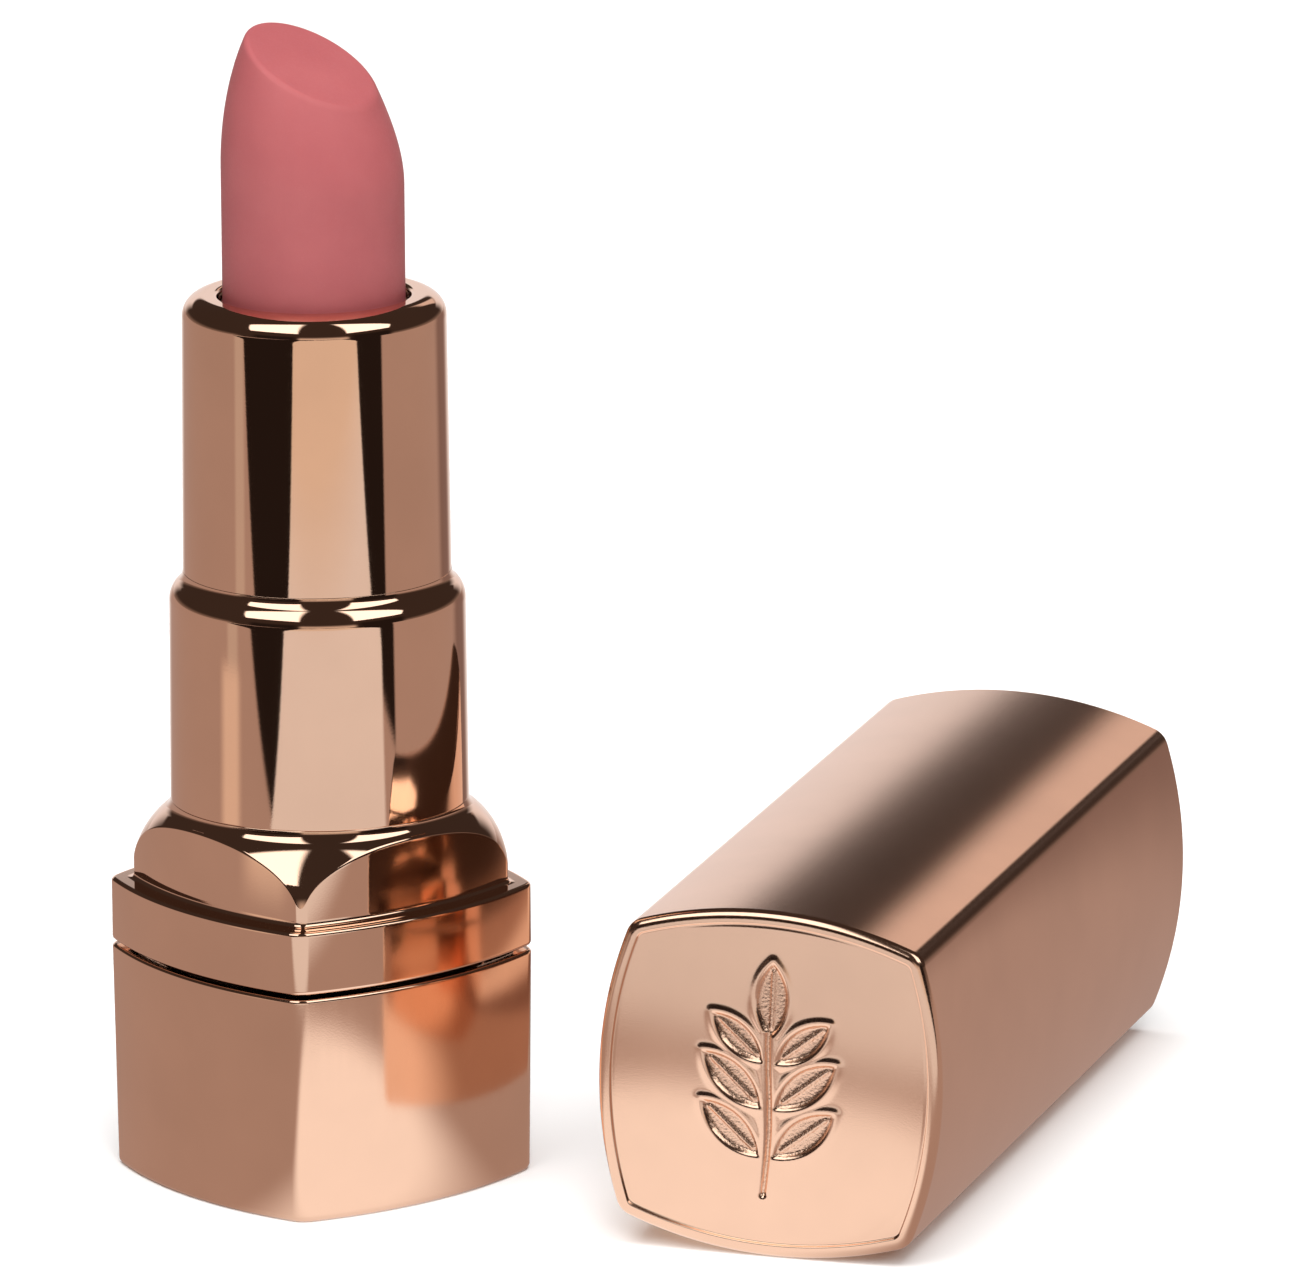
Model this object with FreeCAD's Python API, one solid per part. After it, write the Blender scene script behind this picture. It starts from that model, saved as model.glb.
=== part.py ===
"""Swivel lipstick case with its cap lying beside it.

The case stands on the XY plane with its axis on Z.  The cap lies along Y with its mouth towards +Y, and
the case is turned about Z so that one corner of its square body looks roughly the same way as the cap's
closed end.  Millimetres, +Z up, origin at the centre of the standing face.

Turning the upper shell on the base drives the carrier: its two lugs pass through straight slots in the
guide tube (which turns with the base) into helical slots in the spiral sleeve (which turns with the shell).
The model is drawn with the bullet fully raised.
"""
import FreeCAD, Part
import math
import os

from FreeCAD import Placement, Rotation, Vector

# ---- driving dimensions: the square section that base, collar and cap share ----
CORNER_REACH = 14.18      # axis to the sharp corner, before rounding
FACE_REACH = 11.84        # axis to the middle of a bowed side
CORNER_RADIUS = 1.55
MIN_CORNER = 0.3          # least corner radius of the inner sections
HALF_CHORD = CORNER_REACH / math.sqrt(2)
SAGITTA = FACE_REACH - HALF_CHORD
SIDE_RADIUS = (HALF_CHORD ** 2 + SAGITTA ** 2) / (2 * SAGITTA)
SIDE_CENTRE = SIDE_RADIUS - FACE_REACH    # how far beyond the axis each side's arc is centred

# ---- base ----
BASE_TOP = 15.25
BASE_WALL = 1.0
BASE_FLOOR = 1.2
BASE_FOOT_SCALE = 0.985   # draft: the foot is this much smaller than the top
FOOT_EDGE = 0.45
LABEL_RADIUS = 7.0
LABEL_THICKNESS = 0.12     # the recess is as deep, so the label is flush
WEIGHT_RADIUS = 9.4
WEIGHT_HEIGHT = 2.2
PAD_THICKNESS = 0.2       # die-cut adhesive discs that hold the two weights
PAD_INSET = 0.4           # the base pad is this much smaller in radius than its weight
WEIGHT_CHAMFER = 0.3
WEIGHT_HEADROOM = 0.1
INSERT_WALL = 0.8
INSERT_DROP = 0.35        # the insert ends this far below the cup's rim
INSERT_DECK = 1.2
INSERT_RIBS = 8
INSERT_RIB_WIDTH = 0.8
INSERT_RIB_DROP = 0.6
INSERT_RIB_CLEAR = 0.3    # rib to cup wall
SOCKET_WALL = 1.0
BOSS_RADIUS = 10.2
BOSS_DROP = 0.35          # boss top to retaining ring

# ---- collar ----
SEAM = 0.30               # open line between base and collar
COLLAR_BOTTOM = BASE_TOP + SEAM
LEDGE_TOP = 19.8
LEDGE_EDGE = 0.25
FOOT_INSET = 1.4          # width of the ledge that the cap stands on
SHOULDER_CORNER = 1.0
DOME_CENTRE_R = 6.98
DOME_CENTRE_Z = 20.38
DOME_RADIUS = 5.58
DOME_SEAT_Z = 25.15       # flat seat of the tube on the dome
DOME_CREASE = 0.5
COLLAR_BORE = 9.34
COLLAR_BAND = 1.2
FOOT_ROOT = 1.0           # how far the domed foot is sunk into the band
BOSS_RECESS = 10.35
RECESS_HEADROOM = 0.15
POCKET_HUB_WALL = 0.6

# ---- the tube's two steps ----
LOWER_R_BOTTOM, LOWER_R_TOP = 9.92, 9.82
LOWER_TOP = 40.5
LOWER_SHOULDER = 0.93
UPPER_R_BOTTOM, UPPER_R_TOP = 8.90, 8.73
TUBE_BOTTOM = 20.1
TUBE_TOP = 59.7
UPPER_SHOULDER = 1.45
MOUTH_RADIUS = 6.35
MOUTH_EDGE = 0.3
LIP_THICKNESS = 1.15
TUBE_BORE = 8.20
STEP_BORE = 8.94
SPIGOT_RADIUS = 9.31

# ---- swivel mechanism ----
LEAD = 16.0               # carrier travel per turn
TRAVEL = 22.0
LUG_Z = 50.0              # lug height with the bullet fully up
LUG_RADIUS = 0.75
SLOT_WIDTH = 1.70
LUG_REACH = 8.05
GUIDE_IN, GUIDE_OUT = 6.75, 7.30
GUIDE_TOP = 58.30
GUIDE_NECK = 7.97
GUIDE_FOOT = 4.1
GUIDE_FLOOR = 1.0
FLANGE_RADIUS = 9.10
FLANGE_BOTTOM, FLANGE_TOP = 17.30, 18.10
SPLINES = 24
SPLINE_LENGTH = 8.0
SPLINE_HEIGHT = 0.2
SPLINE_WIDTH = 0.56
SPLINE_ROOT = 0.3         # how far each spline is sunk into the neck
SLOT_OVERRUN = 0.35       # straight slot beyond the lug at each end of its travel
SLEEVE_IN, SLEEVE_OUT = 7.38, 8.16
SLEEVE_BOTTOM, SLEEVE_TOP = 18.80, 58.35
SLEEVE_FLANGE_TOP = 20.0
SLEEVE_FLANGE_RADIUS = 9.25
HELIX_OVERRUN = 0.25
HELIX_MARGIN = 0.4        # how far the helical cutter stands clear of the sleeve's wall
RETAINER_IN, RETAINER_OUT = 8.05, 9.31
RETAINER_BOTTOM, RETAINER_TOP = 16.45, 17.20
RETAINER_SPLIT = 1.6
WASHER_BOTTOM, WASHER_TOP = 18.20, 18.70
WASHER_CLEAR = 0.1
BRAKE_SECTION = 0.32
BRAKE_POCKET_TOP = 19.75
CUP_OUT, CUP_IN = 6.62, 6.08
CUP_BOTTOM, CUP_TOP = 48.60, 58.10
CUP_FLOOR_TOP = 51.0
CUP_FLOOR_THICKNESS = 0.8
CUP_FLOOR_HOLE = 2.0
CUP_RIBS = 4
CUP_RIB_DEPTH = 0.35
CUP_RIB_WIDTH = 0.4
CUP_RIB_DROP = 1.2
LUG_PAD_WIDTH = 3.2
LUG_PAD_DEPTH = 0.3
LUG_PAD_TOP = 50.6

# ---- bullet ----
BULLET_RADIUS = 6.03
NOSE_START = 67.6         # on the axis, where the side begins to curve in
NOSE_START_SLOPE = 0.14
FACET_Z = 75.0            # on the axis
FACET_SLOPE = 0.55
FACET_RADIUS = 4.42
FACET_AZIMUTH = 11.6      # compass direction of the facet's low side, from +X
FACET_EDGE = 0.45
NOSE_LEAD = 3.0           # plain stem ends this far below the nose
NOSE_FIRST_RISE = 1.5     # from there to the first section that tilts
NOSE_FIRST_SLOPE = 0.09
NOSE_STEPS = 5

# ---- cap, drawn upright on its mouth and then laid down ----
CAP_LENGTH = 60.4
CAP_WALL = 0.65
CAP_END = 1.40
CAP_END_SCALE = 0.983     # draft: the closed end is this much smaller than the mouth
CAP_END_EDGE = 0.60
LINER_WALL = 0.60
LINER_END = 0.8
LINER_RECESS = 0.40       # the liner starts this far inside the mouth
LINER_TOP = 55.6
GRIP_RIB_DEPTH = 0.10
GRIP_RIB_WIDTH = 0.7
GRIP_RIB_START = 0.6      # above the liner's open end
GRIP_RIB_LENGTH = 8.4
CAP_WEIGHT_BOTTOM, CAP_WEIGHT_TOP = 55.7, 58.55
CAP_WEIGHT_GAP = 0.35     # cap weight to cap wall
CAP_PAD_RADIUS = 8.0

# ---- sprig sunk into the cap's closed end, upright as the cap lies ----
SPRIG_DEPTH = 0.30
STEM_BOTTOM, STEM_TOP = -7.7, 3.7
STEM_WIDTH = 0.6
TIP_LEAF_Y, TIP_LEAF_LENGTH, TIP_LEAF_WIDTH = 3.1, 5.2, 2.3
LEAF_PAIRS = ((-4.9, 5.4), (-1.6, 5.4), (1.5, 4.7))    # stalk height and length
LEAF_SLENDERNESS = 0.42   # width over length
LEAF_SPREAD = 50          # degrees from the stem
LEAF_OFFSET = 0.4         # stalk end from the stem's middle

# ---- where the cap lies ----
CAP_X, CAP_Y = 34.81, -12.33    # centre of the closed end, as it lies
CAP_ROLL = -2.6                 # about the cap's own axis

CASE_TURN = -32.1         # the standing case about Z; the cap's axis stays on Y

SLIP_GAP = 0.05           # between pieces that drop together
PRESS_GAP = 0.03          # between pieces that press together
WELD = 0.1                # how far parts of one moulding are sunk into each other before they are joined
MARGIN = 1.0              # how far a cutting tool runs past what it cuts
SAME_POINT = 1e-6


def polar(radius, degrees, z=0.0):
    """The point at a radius and compass angle about the Z axis."""
    a = math.radians(degrees)
    return Vector(radius * math.cos(a), radius * math.sin(a), z)


def square_wire(z, inset=0.0, corner=None, scale=1.0):
    """The bow-sided square at height z, moved in by inset and scaled about the axis."""
    side = SIDE_RADIUS - inset
    corner = max(CORNER_RADIUS - inset, MIN_CORNER) if corner is None else corner
    reach = side - corner     # from a side's arc centre to the corner's arc centre
    q = (-SIDE_CENTRE + math.sqrt(2 * reach ** 2 - SIDE_CENTRE ** 2)) / 2
    tangent = math.atan2(q, q + SIDE_CENTRE)
    ends = [Vector(side * math.cos(a) - SIDE_CENTRE, side * math.sin(a), 0) for a in (-tangent, 0, tangent)]
    tip = Vector(q + corner / math.sqrt(2), q + corner / math.sqrt(2), 0)
    next_start = Vector(-ends[0].y, ends[0].x, 0)
    edges = []
    for quarter in range(4):
        turn = Rotation(Vector(0, 0, 1), 90 * quarter)
        points = [turn.multVec(p) * scale + Vector(0, 0, z) for p in ends + [tip, next_start]]
        edges.append(Part.Arc(*points[:3]).toShape())
        edges.append(Part.Arc(*points[2:]).toShape())
    return Part.Wire(edges)


def square_prism(bottom, top, inset=0.0, corner=None, scale_bottom=1.0, scale_top=1.0):
    """A solid between two such squares."""
    wires = [
        square_wire(bottom, inset, corner, scale_bottom),
        square_wire(top, inset, corner, scale_top),
    ]
    return Part.makeLoft(wires, True, True)


def cylinder(radius, bottom, top):
    return Part.makeCylinder(radius, top - bottom, Vector(0, 0, bottom))


def tube(inner, outer, bottom, top):
    return cylinder(outer, bottom, top).cut(cylinder(inner, bottom - MARGIN, top + MARGIN))


def revolve(points):
    """A closed outline of (r, z) points turned about the Z axis.  A triple (start, middle, end) is an arc."""
    edges = []
    last = None
    first = None
    for item in points:
        if isinstance(item[0], tuple):
            start, middle, end = [Vector(r, 0, z) for r, z in item]
            if last is not None and last.distanceToPoint(start) > SAME_POINT:
                edges.append(Part.makeLine(last, start))
            edges.append(Part.Arc(start, middle, end).toShape())
        else:
            start = end = Vector(item[0], 0, item[1])
            if last is not None and last.distanceToPoint(start) > SAME_POINT:
                edges.append(Part.makeLine(last, start))
        first = first or start
        last = end
    if last.distanceToPoint(first) > SAME_POINT:
        edges.append(Part.makeLine(last, first))
    face = Part.Face(Part.Wire(edges))
    return face.revolve(Vector(0, 0, 0), Vector(0, 0, 1), 360)


def quarter_arc(centre_r, centre_z, radius, start_deg, end_deg):
    """An arc of an (r, z) outline as the triple that revolve takes."""
    angles = (start_deg, (start_deg + end_deg) / 2, end_deg)
    return tuple(
        (centre_r + radius * math.cos(math.radians(a)), centre_z + radius * math.sin(math.radians(a)))
        for a in angles
    )


def around(shape, count):
    """Copies of a shape spread evenly about the Z axis, as one compound."""
    copies = []
    for i in range(count):
        copy = shape.copy()
        copy.rotate(Vector(0, 0, 0), Vector(0, 0, 1), 360.0 * i / count)
        copies.append(copy)
    return Part.makeCompound(copies)


def box(x0, x1, y0, y1, z0, z1):
    return Part.makeBox(x1 - x0, y1 - y0, z1 - z0, Vector(x0, y0, z0))


def edges_at(shape, z, tolerance=0.02):
    """The edges of a shape that lie wholly at one height."""
    found = []
    for edge in shape.Edges:
        bounds = edge.BoundBox
        if abs(bounds.ZMin - z) < tolerance and abs(bounds.ZMax - z) < tolerance:
            found.append(edge)
    return found


def merge(first, *others):
    return first.fuse(list(others)).removeSplitter()


# ---------------------------------------------------------------- base

def base_cup():
    outer = square_prism(0, BASE_TOP, scale_bottom=BASE_FOOT_SCALE)
    outer = outer.makeFillet(FOOT_EDGE, edges_at(outer, 0))
    outer = outer.makeFillet(LEDGE_EDGE, edges_at(outer, BASE_TOP))
    cavity = square_prism(BASE_FLOOR, BASE_TOP + MARGIN, BASE_WALL, scale_bottom=BASE_FOOT_SCALE)
    recess = cylinder(LABEL_RADIUS + SLIP_GAP, -MARGIN, LABEL_THICKNESS)
    return outer.cut(cavity).cut(recess)


def shade_label():
    return cylinder(LABEL_RADIUS, 0, LABEL_THICKNESS)


def base_weight_pad():
    return cylinder(WEIGHT_RADIUS - PAD_INSET, BASE_FLOOR, BASE_FLOOR + PAD_THICKNESS)


def base_weight():
    bottom = BASE_FLOOR + PAD_THICKNESS
    disc = cylinder(WEIGHT_RADIUS, bottom, bottom + WEIGHT_HEIGHT)
    return disc.makeChamfer(WEIGHT_CHAMFER, edges_at(disc, bottom) + edges_at(disc, bottom + WEIGHT_HEIGHT))


def base_insert():
    """Moulded plug that fills the base cup, with a splined socket for the guide tube's foot."""
    bottom = BASE_FLOOR + PAD_THICKNESS + WEIGHT_HEIGHT + WEIGHT_HEADROOM
    top = BASE_TOP - INSERT_DROP
    foot = BASE_FLOOR + SLIP_GAP
    outside = BASE_WALL + PRESS_GAP
    skirt = square_prism(foot, top, outside, scale_bottom=BASE_FOOT_SCALE)
    hollow = square_prism(
        BASE_FLOOR - MARGIN, top - INSERT_DECK, outside + INSERT_WALL, scale_bottom=BASE_FOOT_SCALE
    )
    socket_wall = cylinder(GUIDE_NECK + SOCKET_WALL, bottom, top)
    boss = cylinder(BOSS_RADIUS, top - INSERT_DECK, RETAINER_BOTTOM - BOSS_DROP)
    rib = box(
        GUIDE_NECK + SOCKET_WALL / 2, FACE_REACH - BASE_WALL - INSERT_RIB_CLEAR,
        -INSERT_RIB_WIDTH / 2, INSERT_RIB_WIDTH / 2, bottom, top - INSERT_RIB_DROP,
    )
    inside = square_prism(foot, top, outside + INSERT_WALL / 2, scale_bottom=BASE_FOOT_SCALE)
    ribs = around(rib, INSERT_RIBS).common(inside)
    body = merge(skirt.cut(hollow), socket_wall, boss, *ribs.Solids)
    socket_floor = GUIDE_FOOT - SLIP_GAP
    socket = cylinder(GUIDE_NECK + PRESS_GAP, socket_floor, RETAINER_BOTTOM)
    return body.cut(socket).cut(around(spline(SLIP_GAP, socket_floor), SPLINES))


def spline(clearance, bottom):
    """One spline of the guide tube's foot, or with a clearance the groove it presses into."""
    half = SPLINE_WIDTH / 2 + clearance
    top = GUIDE_FOOT + SPLINE_LENGTH + clearance
    return box(GUIDE_NECK - SPLINE_ROOT, GUIDE_NECK + SPLINE_HEIGHT + clearance, -half, half, bottom, top)


def guide_tube():
    """Slotted inner tube: its splined foot is pressed into the base insert, so it turns with the base."""
    body = merge(
        cylinder(GUIDE_OUT, GUIDE_FOOT, GUIDE_TOP),
        cylinder(GUIDE_NECK, GUIDE_FOOT, FLANGE_BOTTOM),
        cylinder(FLANGE_RADIUS, FLANGE_BOTTOM, FLANGE_TOP),
        *around(spline(0, GUIDE_FOOT), SPLINES).Solids,
    )
    body = body.cut(cylinder(GUIDE_IN, GUIDE_FOOT + GUIDE_FLOOR, GUIDE_TOP + MARGIN))
    overrun = LUG_RADIUS + SLOT_OVERRUN
    slot = box(
        0, FLANGE_RADIUS, -SLOT_WIDTH / 2, SLOT_WIDTH / 2, LUG_Z - TRAVEL - overrun, LUG_Z + overrun
    )
    return body.cut(around(slot, 2))


# ---------------------------------------------------------------- upper shell

def dome():
    """The round body that rounds off the collar's square foot, turned from one outline."""
    seat_angle = math.degrees(math.asin((DOME_SEAT_Z - DOME_CENTRE_Z) / DOME_RADIUS))
    rim = DOME_CENTRE_R + DOME_RADIUS
    below = LEDGE_TOP - FOOT_ROOT - MARGIN
    return revolve([
        (0, below),
        (CORNER_REACH, below),
        (CORNER_REACH, LEDGE_TOP),
        (rim + SLIP_GAP, LEDGE_TOP),
        (rim, DOME_CENTRE_Z),
        quarter_arc(DOME_CENTRE_R, DOME_CENTRE_Z, DOME_RADIUS, 0, seat_angle),
        (0, DOME_SEAT_Z),
    ])


def dome_creases(shoulder):
    """The four arched edges where the foot's sides meet the dome."""
    return [
        edge for edge in shoulder.Edges
        if edge.BoundBox.ZLength > DOME_CREASE and edge.BoundBox.ZMin > LEDGE_TOP
        and edge.Length > FACE_REACH / 2
    ]


def collar():
    """Square band with the ledge for the cap, and the domed shoulder that the tube stands on."""
    band = square_prism(COLLAR_BOTTOM, LEDGE_TOP)
    band = band.makeFillet(LEDGE_EDGE, edges_at(band, COLLAR_BOTTOM) + edges_at(band, LEDGE_TOP))
    foot = square_prism(LEDGE_TOP - FOOT_ROOT, DOME_SEAT_Z, FOOT_INSET, SHOULDER_CORNER)
    shoulder = foot.common(dome())
    shoulder = shoulder.makeFillet(DOME_CREASE, dome_creases(shoulder))
    body = merge(band, shoulder)
    body = body.cut(cylinder(COLLAR_BORE, COLLAR_BOTTOM - MARGIN, DOME_SEAT_Z + MARGIN))
    body = body.cut(cylinder(BOSS_RECESS, COLLAR_BOTTOM - MARGIN, RETAINER_BOTTOM - RECESS_HEADROOM))
    pocket = square_prism(COLLAR_BOTTOM - MARGIN, LEDGE_TOP - COLLAR_BAND, COLLAR_BAND)
    pocket = pocket.cut(cylinder(BOSS_RECESS + POCKET_HUB_WALL, 0, LEDGE_TOP))
    return body.cut(pocket)


def lower_sleeve():
    """The wider step of the tube, with a spigot that presses into the collar."""
    shoulder_r = max(LOWER_R_TOP - LOWER_SHOULDER, STEP_BORE)
    edge_deg = math.degrees(math.acos((shoulder_r - LOWER_R_TOP + LOWER_SHOULDER) / LOWER_SHOULDER))
    return revolve([
        (STEP_BORE, TUBE_BOTTOM),
        (SPIGOT_RADIUS, TUBE_BOTTOM),
        (SPIGOT_RADIUS, DOME_SEAT_Z),
        (LOWER_R_BOTTOM, DOME_SEAT_Z),
        quarter_arc(LOWER_R_TOP - LOWER_SHOULDER, LOWER_TOP - LOWER_SHOULDER, LOWER_SHOULDER, 0, edge_deg),
    ])


def tube_shell():
    """Outer tube with a rolled-in mouth.  It stands on the sleeve's flange inside the wider step."""
    return revolve([
        (TUBE_BORE, TUBE_BOTTOM),
        (UPPER_R_BOTTOM, TUBE_BOTTOM),
        (UPPER_R_BOTTOM, LOWER_TOP),
        quarter_arc(UPPER_R_TOP - UPPER_SHOULDER, TUBE_TOP - UPPER_SHOULDER, UPPER_SHOULDER, 0, 90),
        quarter_arc(MOUTH_RADIUS + MOUTH_EDGE, TUBE_TOP - MOUTH_EDGE, MOUTH_EDGE, 90, 180),
        (MOUTH_RADIUS, TUBE_TOP - LIP_THICKNESS),
        (TUBE_BORE, TUBE_TOP - LIP_THICKNESS),
    ])


def helical_slot():
    """The solids that cut one helical slot out of the sleeve along the lug's path, with round ends."""
    low = LUG_Z - TRAVEL - HELIX_OVERRUN
    high = LUG_Z + HELIX_OVERRUN
    middle = (SLEEVE_IN + SLEEVE_OUT) / 2
    helix = Part.makeHelix(LEAD, high - low, middle)
    start = Vector(middle, 0, 0)
    tangent = Vector(0, 2 * math.pi * middle, LEAD)
    tangent.normalize()
    across = tangent.cross(Vector(1, 0, 0))
    half_wide = SLOT_WIDTH / 2
    half_deep = (SLEEVE_OUT - SLEEVE_IN) / 2 + HELIX_MARGIN
    corners = [
        start + Vector(1, 0, 0) * (half_deep * sx) + across * (half_wide * sy)
        for sx, sy in ((-1, -1), (1, -1), (1, 1), (-1, 1))
    ]
    profile = Part.makePolygon(corners + corners[:1])
    sweep = Part.Wire(helix).makePipeShell([profile], True, True)
    sweep.translate(Vector(0, 0, low))
    sweep.rotate(Vector(0, 0, 0), Vector(0, 0, 1), 360.0 * (low - LUG_Z) / LEAD)
    tools = [sweep]
    for z in (LUG_Z - TRAVEL, LUG_Z):
        root = Vector(SLEEVE_IN - HELIX_MARGIN, 0, z)
        end = Part.makeCylinder(half_wide, SLEEVE_OUT - SLEEVE_IN + 2 * HELIX_MARGIN, root, Vector(1, 0, 0))
        end.rotate(Vector(0, 0, 0), Vector(0, 0, 1), 360.0 * (z - LUG_Z) / LEAD)
        tools.append(end)
    return tools


def spiral_sleeve():
    """Cam sleeve with two helical slots half a turn apart, fixed inside the tube."""
    body = merge(
        tube(SLEEVE_IN, SLEEVE_OUT, SLEEVE_BOTTOM, SLEEVE_TOP),
        tube(SLEEVE_IN, SLEEVE_FLANGE_RADIUS, SLEEVE_BOTTOM, SLEEVE_FLANGE_TOP),
    )
    pocket_radius = GUIDE_OUT + 2 * (BRAKE_SECTION + PRESS_GAP)
    body = body.cut(cylinder(pocket_radius, SLEEVE_BOTTOM - MARGIN, BRAKE_POCKET_TOP))
    for half_turn in (0, 180):
        for tool in helical_slot():
            tool.rotate(Vector(0, 0, 0), Vector(0, 0, 1), half_turn)
            body = body.cut(tool)
    return body


def retaining_ring():
    ring = tube(RETAINER_IN, RETAINER_OUT, RETAINER_BOTTOM, RETAINER_TOP)
    split = box(
        RETAINER_IN - MARGIN, RETAINER_OUT + MARGIN, -RETAINER_SPLIT / 2, RETAINER_SPLIT / 2,
        RETAINER_BOTTOM - MARGIN, RETAINER_TOP + MARGIN,
    )
    return ring.cut(split)


def thrust_washer():
    return tube(GUIDE_OUT + WASHER_CLEAR, RETAINER_OUT, WASHER_BOTTOM, WASHER_TOP)


def brake_ring():
    """Soft ring between the sleeve and the guide tube that gives the twist its drag."""
    z = SLEEVE_BOTTOM + BRAKE_SECTION + PRESS_GAP
    return Part.makeTorus(GUIDE_OUT + PRESS_GAP + BRAKE_SECTION, BRAKE_SECTION, Vector(0, 0, z))


# ---------------------------------------------------------------- carrier

def cup_ribs():
    """The ribs inside the cup that grip the stick, at 45 degrees to the lugs."""
    rib = box(
        CUP_IN - CUP_RIB_DEPTH, CUP_IN + WELD, -CUP_RIB_WIDTH / 2, CUP_RIB_WIDTH / 2,
        CUP_FLOOR_TOP, CUP_TOP - CUP_RIB_DROP,
    )
    ribs = around(rib, CUP_RIBS)
    ribs.rotate(Vector(0, 0, 0), Vector(0, 0, 1), 45)
    return ribs


def carrier_cup():
    """Cup that holds the bullet, with two lugs that run in the slots."""
    body = tube(CUP_IN, CUP_OUT, CUP_BOTTOM, CUP_TOP)
    floor = tube(CUP_FLOOR_HOLE, CUP_IN + WELD, CUP_FLOOR_TOP - CUP_FLOOR_THICKNESS, CUP_FLOOR_TOP)
    lug = Part.makeCylinder(LUG_RADIUS, LUG_REACH - CUP_IN, Vector(CUP_IN, 0, LUG_Z), Vector(1, 0, 0))
    pad = box(
        CUP_IN - LUG_PAD_DEPTH, CUP_OUT - WELD, -LUG_PAD_WIDTH / 2, LUG_PAD_WIDTH / 2,
        CUP_BOTTOM, LUG_PAD_TOP,
    )
    return merge(body, floor, *around(lug, 2).Solids, *around(pad, 2).Solids, *cup_ribs().Solids)


def tilted_circle(radius, z, slope):
    """A closed wire whose plan is a circle, on a plane that falls towards +X."""
    if slope == 0:
        return Part.Wire(Part.Circle(Vector(0, 0, z), Vector(0, 0, 1), radius).toShape())
    major = Vector(radius, 0, z - slope * radius)
    minor = Vector(0, radius, z)
    return Part.Wire(Part.Ellipse(major, minor, Vector(0, 0, z)).toShape())


def lipstick_bullet():
    """Moulded stick: a cylinder whose nose curves in to a slanted facet."""
    stem_top = NOSE_START - NOSE_LEAD
    wires = [
        tilted_circle(BULLET_RADIUS, stem_top, 0),
        tilted_circle(BULLET_RADIUS, stem_top + NOSE_FIRST_RISE, NOSE_FIRST_SLOPE),
    ]
    for i in range(NOSE_STEPS + 1):
        t = i / NOSE_STEPS
        wires.append(tilted_circle(
            BULLET_RADIUS - (BULLET_RADIUS - FACET_RADIUS) * t ** 2,
            NOSE_START + (FACET_Z - NOSE_START) * t,
            NOSE_START_SLOPE + (FACET_SLOPE - NOSE_START_SLOPE) * t,
        ))
    nose = Part.makeLoft(wires, True, False)
    facet = max(nose.Faces, key=lambda f: f.CenterOfMass.z)
    nose = nose.makeFillet(FACET_EDGE, facet.Edges)
    body = merge(cylinder(BULLET_RADIUS, CUP_FLOOR_TOP, stem_top), nose)
    body.rotate(Vector(0, 0, 0), Vector(0, 0, 1), FACET_AZIMUTH)
    return body.cut(cup_ribs())


# ---------------------------------------------------------------- cap

def cap_scale(z):
    return 1 + (CAP_END_SCALE - 1) * z / CAP_LENGTH


def leaf(length, width, x, y, heading):
    """A pointed leaf outline on the XY plane, its stalk end at (x, y)."""
    stalk, tip = Vector(0, 0, 0), Vector(length, 0, 0)
    wire = Part.Wire([
        Part.Arc(stalk, Vector(length / 2, width / 2, 0), tip).toShape(),
        Part.Arc(tip, Vector(length / 2, -width / 2, 0), stalk).toShape(),
    ])
    wire.rotate(Vector(0, 0, 0), Vector(0, 0, 1), heading)
    wire.translate(Vector(x, y, 0))
    return wire


def sprig():
    """The solids that sink a plain sprig of leaves into the closed end: a stem, pairs of leaves and a tip."""
    outlines = [leaf(TIP_LEAF_LENGTH, TIP_LEAF_WIDTH, 0, TIP_LEAF_Y, 90)]
    for y, length in LEAF_PAIRS:
        for side in (1, -1):
            heading = 90 - side * LEAF_SPREAD
            outlines.append(leaf(length, length * LEAF_SLENDERNESS, side * LEAF_OFFSET, y, heading))
    bottom = CAP_LENGTH - SPRIG_DEPTH
    tools = [box(-STEM_WIDTH / 2, STEM_WIDTH / 2, STEM_BOTTOM, STEM_TOP, bottom, CAP_LENGTH + MARGIN)]
    for outline in outlines:
        tool = Part.Face(outline).extrude(Vector(0, 0, SPRIG_DEPTH + MARGIN))
        tool.translate(Vector(0, 0, bottom))
        tools.append(tool)
    for tool in tools:
        tool.rotate(Vector(0, 0, 0), Vector(0, 0, 1), -90)
    return tools


def cap_shell():
    outer = square_prism(0, CAP_LENGTH, scale_top=CAP_END_SCALE)
    outer = outer.makeFillet(CAP_END_EDGE, edges_at(outer, CAP_LENGTH))
    cavity_top = CAP_LENGTH - CAP_END
    cavity = square_prism(
        -MARGIN, cavity_top, CAP_WALL, scale_bottom=cap_scale(-MARGIN), scale_top=cap_scale(cavity_top)
    )
    body = outer.cut(cavity)
    for tool in sprig():
        body = body.cut(tool)
    return body


def cap_liner():
    """Plain inner cap with grip ribs that hold it on the collar's shoulder."""
    skin = CAP_WALL + PRESS_GAP
    inner = skin + LINER_WALL
    body = square_prism(
        LINER_RECESS, LINER_TOP, skin, scale_bottom=cap_scale(LINER_RECESS), scale_top=cap_scale(LINER_TOP)
    )
    hollow_bottom = LINER_RECESS - MARGIN
    hollow_top = LINER_TOP - LINER_END
    hollow = square_prism(
        hollow_bottom, hollow_top, inner,
        scale_bottom=cap_scale(hollow_bottom), scale_top=cap_scale(hollow_top),
    )
    face = FACE_REACH - inner
    rib_bottom = LINER_RECESS + GRIP_RIB_START
    rib = box(
        face - GRIP_RIB_DEPTH, face + LINER_WALL / 2, -GRIP_RIB_WIDTH / 2, GRIP_RIB_WIDTH / 2,
        rib_bottom, rib_bottom + GRIP_RIB_LENGTH,
    )
    return merge(body.cut(hollow), *around(rib, 4).Solids)


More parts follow.
